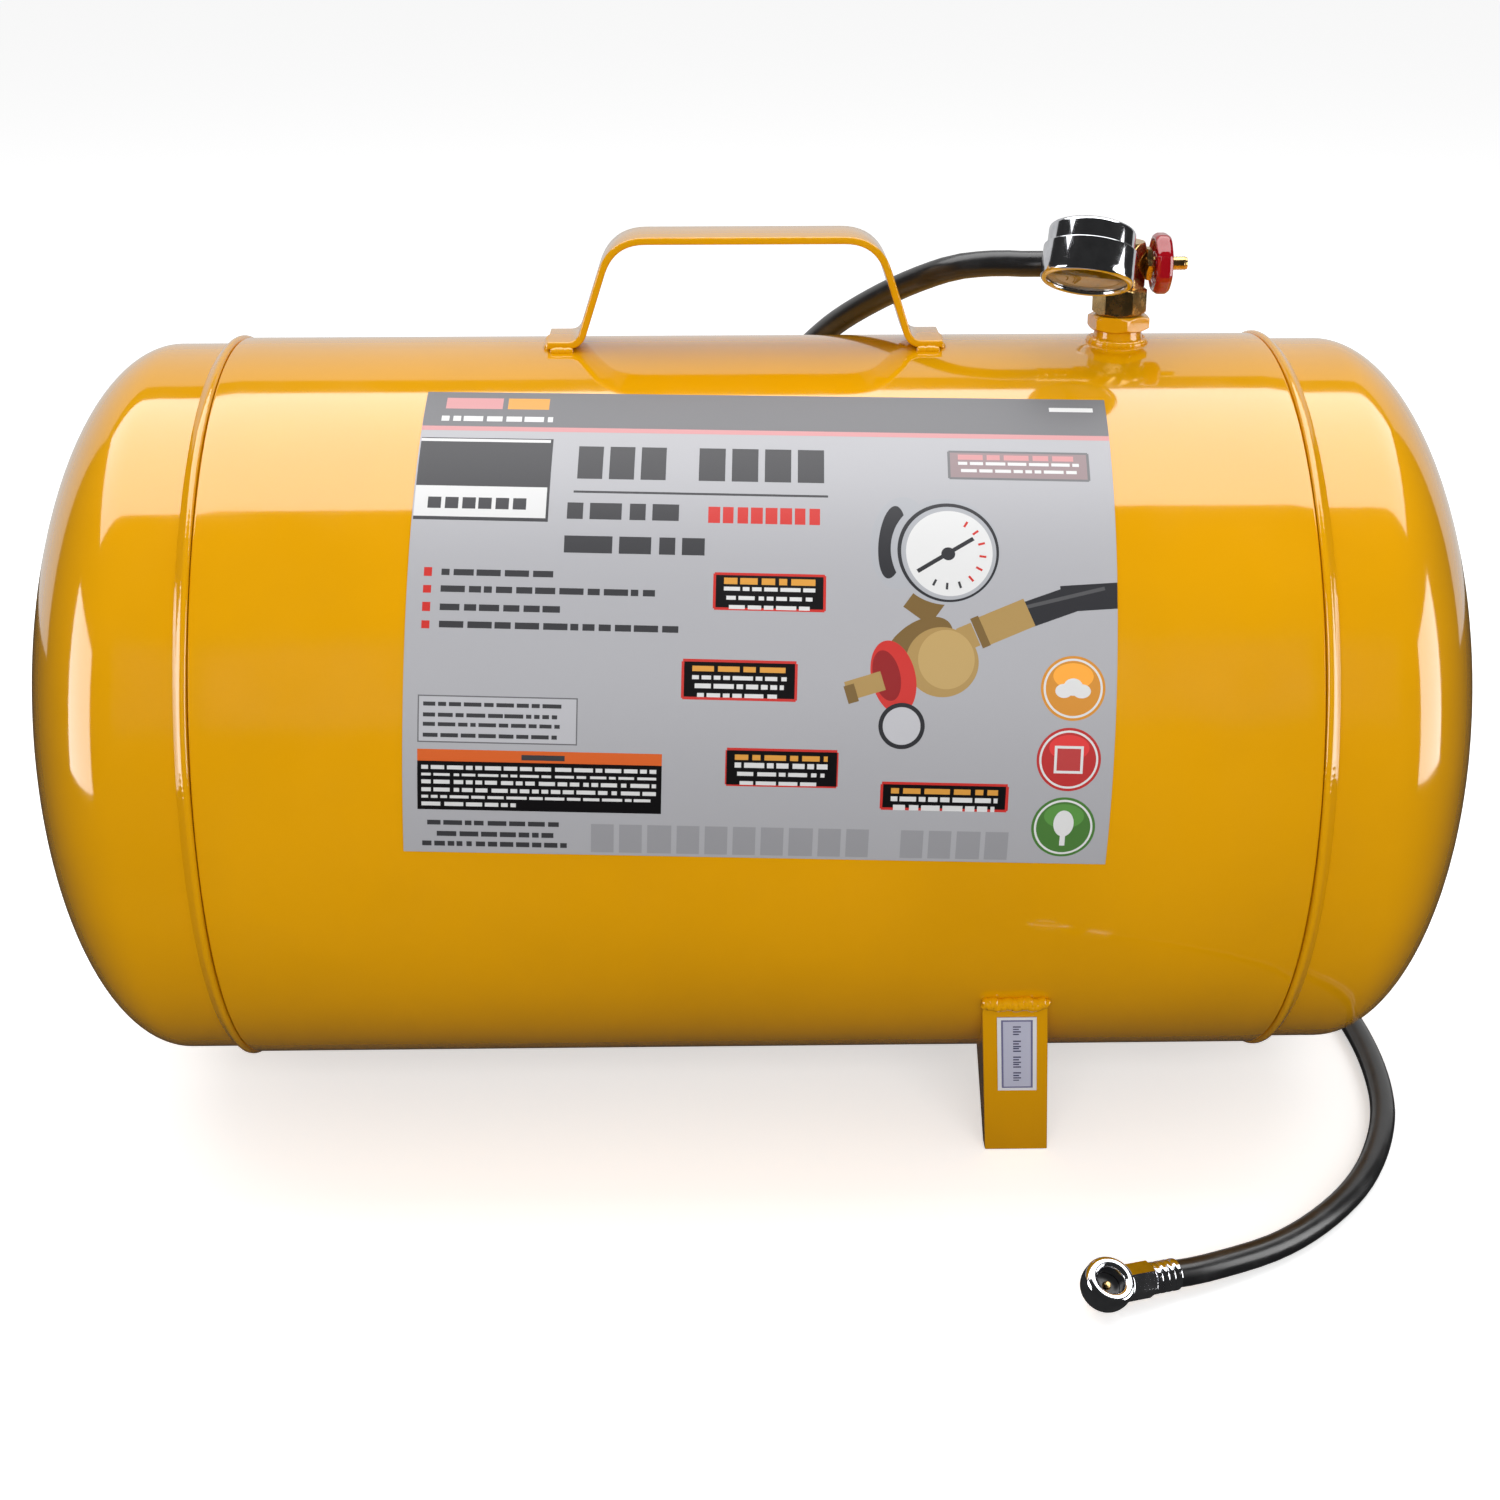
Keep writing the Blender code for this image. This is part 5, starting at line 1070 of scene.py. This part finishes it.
def build_relief():
    face = BODY_HALF + RELIEF_PROUD + GAP
    hex_end, far = face + 0.0055, face + 0.0200
    dress(wrench_solid("relief_hex", 0.0120, face, hex_end, RELIEF), "brass", replaces=["relief_body"])
    barrel = rounded([(0.0036, hex_end - 0.001), (0.0052, hex_end - 0.001), (0.0052, far - 0.0012),
                      (0.0044, far), (0.0018, far), (0.0018, far - 0.0020), (0.0036, far - 0.0020)], 0.0003)
    dress(turned("relief_barrel", barrel, RELIEF, 64), "brass")
    eye = far + 0.0045
    a = np.linspace(0, 2 * pi, 120, endpoint=False)
    x0, y0, z0 = (RELIEF @ Matrix.Translation((0.0, 0.0, eye))).translation
    centre = np.array([x0, y0, z0 - RING_RADIUS])
    line = centre + RING_RADIUS * np.stack([np.cos(a), 0 * a, np.sin(a)], axis=-1)
    ahead = np.stack([-np.sin(a), 0 * a, np.cos(a)], axis=-1)
    up = np.broadcast_to(np.array([0.0, 1.0, 0.0]), line.shape)
    path = np.stack([np.cross(ahead, up), up, ahead, line], axis=-1)
    b = np.linspace(0, 2 * pi, 20, endpoint=False)
    section = np.broadcast_to(RING_WIRE * np.stack([np.cos(b), np.sin(b)], axis=-1), (len(a), 20, 2))
    dress(swept("relief_pull_ring", path, section, closed=True), "chrome", "pull_ring", ["pull_ring"])


# Hose and chuck

def hose_points():
    """A Catmull-Rom curve through the route, about 8 mm apart."""
    end = CHUCK @ Vector((0.0313, 0.0, 0.0))
    lead_out = CHUCK @ Vector((0.0450, 0.0, 0.0))
    start = [HOSE_START, HOSE_START - Vector((HOSE_LEAD, 0.0, 0.0))]
    route = np.array([tuple(p) for p in start + [Vector(p) for p in HOSE_ROUTE] + [lead_out, end]])
    padded = np.vstack([2 * route[0] - route[1], route, 2 * route[-1] - route[-2]])
    made = []
    for a, b, c, d in zip(padded, padded[1:], padded[2:], padded[3:]):
        steps = max(1, round(float(np.linalg.norm(c - b)) / HOSE_STEP))
        t = np.linspace(0, 1, steps, endpoint=False)[:, None]
        made.append(0.5 * (2 * b + (c - a) * t + (2 * a - 5 * b + 4 * c - d) * t ** 2
                           + (3 * b - a - 3 * c + d) * t ** 3))
    return np.vstack(made + [route[-1:]])


def build_hose():
    points = hose_points()
    curve = bpy.data.curves.new("air_hose", "CURVE")
    curve.dimensions = "3D"
    curve.bevel_depth = HOSE_DIAMETER / 2
    curve.bevel_resolution = 10
    curve.use_fill_caps = True
    spline = curve.splines.new("POLY")
    spline.points.add(len(points) - 1)
    placed = np.column_stack([points, np.ones(len(points))])
    spline.points.foreach_set("co", placed.astype(np.float32).ravel())
    spline.use_smooth = True
    hose = linked("air_hose", curve)
    dress(hose, "black_rubber", replaces=["hose"])


def build_chuck():
    r, top, base = 0.0100, 0.0070, -0.0065
    head = rounded([(0.0, base), (0.0056, base), (r - 0.0008, base + 0.0036), (r, base + 0.0066),
                    (r, top - 0.0016), (r - 0.0012, top), (0.0064, top), (0.0053, top - 0.0010),
                    (0.0053, -0.0042), (0.0, -0.0042)], 0.0014)
    dress(turned("chuck_head", head, CHUCK, 120), "chrome", replaces=["chuck_body"])
    dress(wrench_solid("chuck_neck_hex", 0.0122, 0.0080, 0.0195, CHUCK_NECK, turn=radians(30)), "chrome")
    sleeve = crimped(0.0198, 0.0112, 0.0061, 0.0033)
    dress(turned("chuck_crimp_sleeve", sleeve, CHUCK_NECK, 72), "chrome", replaces=["chuck_ferrule"])


def dress_cad():
    """A finish for every CAD node that stays in sight, by the slot that the record gives it."""
    slots = {s["node"]: s["material_slot"] for s in FRAME["record"]["subparts"]}
    for name, node in FRAME["nodes"].items():
        node.data.materials.clear()
        node.data.materials.append(FINISH[slots[name]])


# Stage

CAMERA_PLACE = Vector((-0.0189, -0.9783, 0.5216))
CAMERA_RIGHT = Vector((0.9998, -0.0190, -0.0012))
CAMERA_UP = Vector((0.0080, 0.3583, 0.9336))
CAMERA_LENS = 57.45
WORLD_DIFFUSE = 0.45
WORLD_GLOSSY = 0.03
FLOOR_BOUNCE = 0.45
FLOOR_GLOW = 0.50
FLOOR_SEEN = 0.95
FLOOR_HALF = 14.0
FLOOR_DROP = 0.0002


def add_light(name, place, target, width, height, radiance, diffuse=True, glossy=True):
    """A rectangular soft light of the given radiance, seen by diffuse rays, glossy rays or both."""
    data = bpy.data.lights.new(name, "AREA")
    data.shape = "RECTANGLE"
    data.size = width
    data.size_y = height
    data.energy = radiance * pi * width * height
    light = linked(name, data)
    light.location = place
    look = Vector(target) - Vector(place)
    light.rotation_euler = look.to_track_quat("-Z", "Y").to_euler()
    light.visible_camera = False
    light.visible_diffuse = diffuse
    light.visible_glossy = glossy
    return light


def build_world():
    """A white surround for the camera that is dimmer to diffuse rays and nearly dark in reflections."""
    world = bpy.data.worlds.new("studio")
    bpy.context.scene.world = world
    world.use_nodes = True
    tree = world.node_tree
    background = tree.nodes["Background"]
    background.inputs["Color"].default_value = (1.0, 1.0, 1.0, 1.0)
    path = tree.nodes.new("ShaderNodeLightPath")
    level = None
    for ray, value in (("Is Diffuse Ray", WORLD_DIFFUSE), ("Is Camera Ray", 1.0)):
        choose = tree.nodes.new("ShaderNodeMix")
        choose.inputs[2].default_value = WORLD_GLOSSY
        choose.inputs[3].default_value = value
        tree.links.new(path.outputs[ray], choose.inputs[0])
        if level:
            tree.links.new(level, choose.inputs[2])
        level = choose.outputs[0]
    tree.links.new(level, background.inputs["Strength"])


def build_stage():
    floor = bpy.data.materials.new("studio_floor")
    floor.use_nodes = True
    tree = floor.node_tree
    shader = tree.nodes["Principled BSDF"]
    path = tree.nodes.new("ShaderNodeLightPath")
    seen = path.outputs["Is Camera Ray"]
    shade = tree.nodes.new("ShaderNodeMapRange")
    tree.links.new(seen, shade.inputs["Value"])
    shade.inputs["To Min"].default_value = FLOOR_BOUNCE
    shade.inputs["To Max"].default_value = FLOOR_SEEN
    tree.links.new(shade.outputs["Result"], shader.inputs["Base Color"])
    glow = tree.nodes.new("ShaderNodeMath")
    glow.operation = "MULTIPLY"
    glow.inputs[1].default_value = FLOOR_GLOW
    tree.links.new(seen, glow.inputs[0])
    tree.links.new(glow.outputs["Value"], shader.inputs["Emission Strength"])
    shader.inputs["Emission Color"].default_value = (1.0, 1.0, 1.0, 1.0)
    shader.inputs["Roughness"].default_value = 0.9
    shader.inputs["Specular IOR Level"].default_value = 0.0
    points = FLOOR_HALF * np.array([(-1.0, -1.0, 0.0), (1.0, -1.0, 0.0), (1.0, 1.0, 0.0), (-1.0, 1.0, 0.0)])
    ground = add_mesh("floor", points - [0, 0, FLOOR_DROP], np.array([[0, 1, 2, 3]]), merge=False)
    ground.data.materials.append(floor)
    ground.visible_glossy = False
    middle = (0.0, 0.0, AXIS_HEIGHT)
    add_light("overhead_fill", (0.0, 0.33, 1.80), (0.0, 0.33, 0.0), 3.4, 1.5, 1.5, glossy=False)
    add_light("overhead_gloss", (0.0, 0.33, 1.75), (0.0, 0.33, 0.0), 3.4, 1.5, 3.9, diffuse=False)
    add_light("back_gloss", (0.0, 2.6, 1.2), (0.0, 0.0, 1.2), 7.0, 3.4, 0.6, diffuse=False)
    add_light("left_strip", (-1.5, -0.42, 0.32), (0.0, 0.0, 0.32), 0.85, 0.9, 5.0, diffuse=False)
    add_light("right_strip", (1.5, -0.42, 0.32), (0.0, 0.0, 0.32), 0.85, 0.9, 5.0, diffuse=False)
    add_light("front_fill", (0.0, -3.0, 1.4), middle, 2.4, 1.4, 5.0, glossy=False)
    build_world()
    bpy.context.scene.view_settings.view_transform = "Standard"


def build_camera():
    """The camera at its place, turned to its right and up vectors once they are square to each other."""
    data = bpy.data.cameras.new("camera")
    data.lens = CAMERA_LENS
    data.sensor_width = 36.0
    data.clip_start = 0.02
    camera = linked("camera", data)
    right = CAMERA_RIGHT.normalized()
    up = (CAMERA_UP - right * CAMERA_UP.dot(right)).normalized()
    turn = Matrix((right, up, right.cross(up))).transposed().to_4x4()
    camera.matrix_world = Matrix.Translation(CAMERA_PLACE) @ turn
    bpy.context.scene.camera = camera


# Operators

class AIRTANK_OT_finishes(bpy.types.Operator):
    """Make every paint, metal, rubber and film, and give the CAD nodes theirs."""

    bl_idname = "airtank.finishes"
    bl_label = "Finishes"

    def execute(self, context):
        FINISH.update(make_materials())
        dress_cad()
        return {"FINISHED"}


class AIRTANK_OT_vessel(bpy.types.Operator):
    """Build the shell, its dished heads and the welds between them."""

    bl_idname = "airtank.vessel"
    bl_label = "Vessel"

    def execute(self, context):
        build_shell()
        return {"FINISHED"}


class AIRTANK_OT_handle(bpy.types.Operator):
    """Build the strap handle and its welds."""

    bl_idname = "airtank.handle"
    bl_label = "Handle"

    def execute(self, context):
        build_handle()
        return {"FINISHED"}


class AIRTANK_OT_feet(bpy.types.Operator):
    """Build the three folded feet and their welds."""

    bl_idname = "airtank.feet"
    bl_label = "Feet"

    def execute(self, context):
        build_feet()
        return {"FINISHED"}


class AIRTANK_OT_print(bpy.types.Operator):
    """Build the label on the shell and the sticker on the front foot."""

    bl_idname = "airtank.print"
    bl_label = "Labels"

    def execute(self, context):
        build_label()
        build_sticker()
        return {"FINISHED"}


class AIRTANK_OT_manifold(bpy.types.Operator):
    """Build the bung, the brass block and the hose fitting."""

    bl_idname = "airtank.manifold"
    bl_label = "Manifold"

    def execute(self, context):
        build_manifold()
        build_hose_fitting()
        return {"FINISHED"}


class AIRTANK_OT_valve(bpy.types.Operator):
    """Build the valve's bonnet, spindle, handwheel and nut."""

    bl_idname = "airtank.valve"
    bl_label = "Valve"

    def execute(self, context):
        build_valve()
        return {"FINISHED"}


class AIRTANK_OT_gauge(bpy.types.Operator):
    """Build the pressure gauge."""

    bl_idname = "airtank.gauge"
    bl_label = "Gauge"

    def execute(self, context):
        build_gauge()
        return {"FINISHED"}


class AIRTANK_OT_relief(bpy.types.Operator):
    """Build the relief valve and its pull ring."""

    bl_idname = "airtank.relief"
    bl_label = "Relief valve"

    def execute(self, context):
        build_relief()
        return {"FINISHED"}


class AIRTANK_OT_hose(bpy.types.Operator):
    """Build the tyre chuck and the hose that ends in it."""

    bl_idname = "airtank.hose"
    bl_label = "Hose and chuck"

    def execute(self, context):
        build_chuck()
        build_hose()
        return {"FINISHED"}


class AIRTANK_OT_stage(bpy.types.Operator):
    """Build the floor, the lights and the camera."""

    bl_idname = "airtank.stage"
    bl_label = "Stage"

    def execute(self, context):
        build_stage()
        build_camera()
        return {"FINISHED"}


STEPS = (AIRTANK_OT_stage, AIRTANK_OT_finishes, AIRTANK_OT_vessel, AIRTANK_OT_handle, AIRTANK_OT_feet,
         AIRTANK_OT_print, AIRTANK_OT_manifold, AIRTANK_OT_valve, AIRTANK_OT_gauge, AIRTANK_OT_relief,
         AIRTANK_OT_hose)


class AIRTANK_PT_panel(bpy.types.Panel):
    """Lists the steps that build the tank's looks."""

    bl_idname = "AIRTANK_PT_panel"
    bl_label = "Air Tank"
    bl_space_type = "VIEW_3D"
    bl_region_type = "UI"
    bl_category = "Air Tank"

    def draw(self, context):
        for group in (context.scene.tank_colours, context.scene.tank_sizes):
            for key in group.__annotations__:
                self.layout.prop(group, key)
        for step in STEPS:
            self.layout.operator(step.bl_idname)


CLASSES = (TankColours, TankSizes) + STEPS + (AIRTANK_PT_panel,)


def register():
    for cls in CLASSES:
        bpy.utils.register_class(cls)
    bpy.types.Scene.tank_colours = bpy.props.PointerProperty(type=TankColours)
    bpy.types.Scene.tank_sizes = bpy.props.PointerProperty(type=TankSizes)


def unregister():
    del bpy.types.Scene.tank_sizes
    del bpy.types.Scene.tank_colours
    for cls in reversed(CLASSES):
        bpy.utils.unregister_class(cls)


def main():
    register()
    for step in STEPS:
        getattr(bpy.ops.airtank, step.bl_idname.split(".")[1])()


if __name__ == "__main__":
    main()
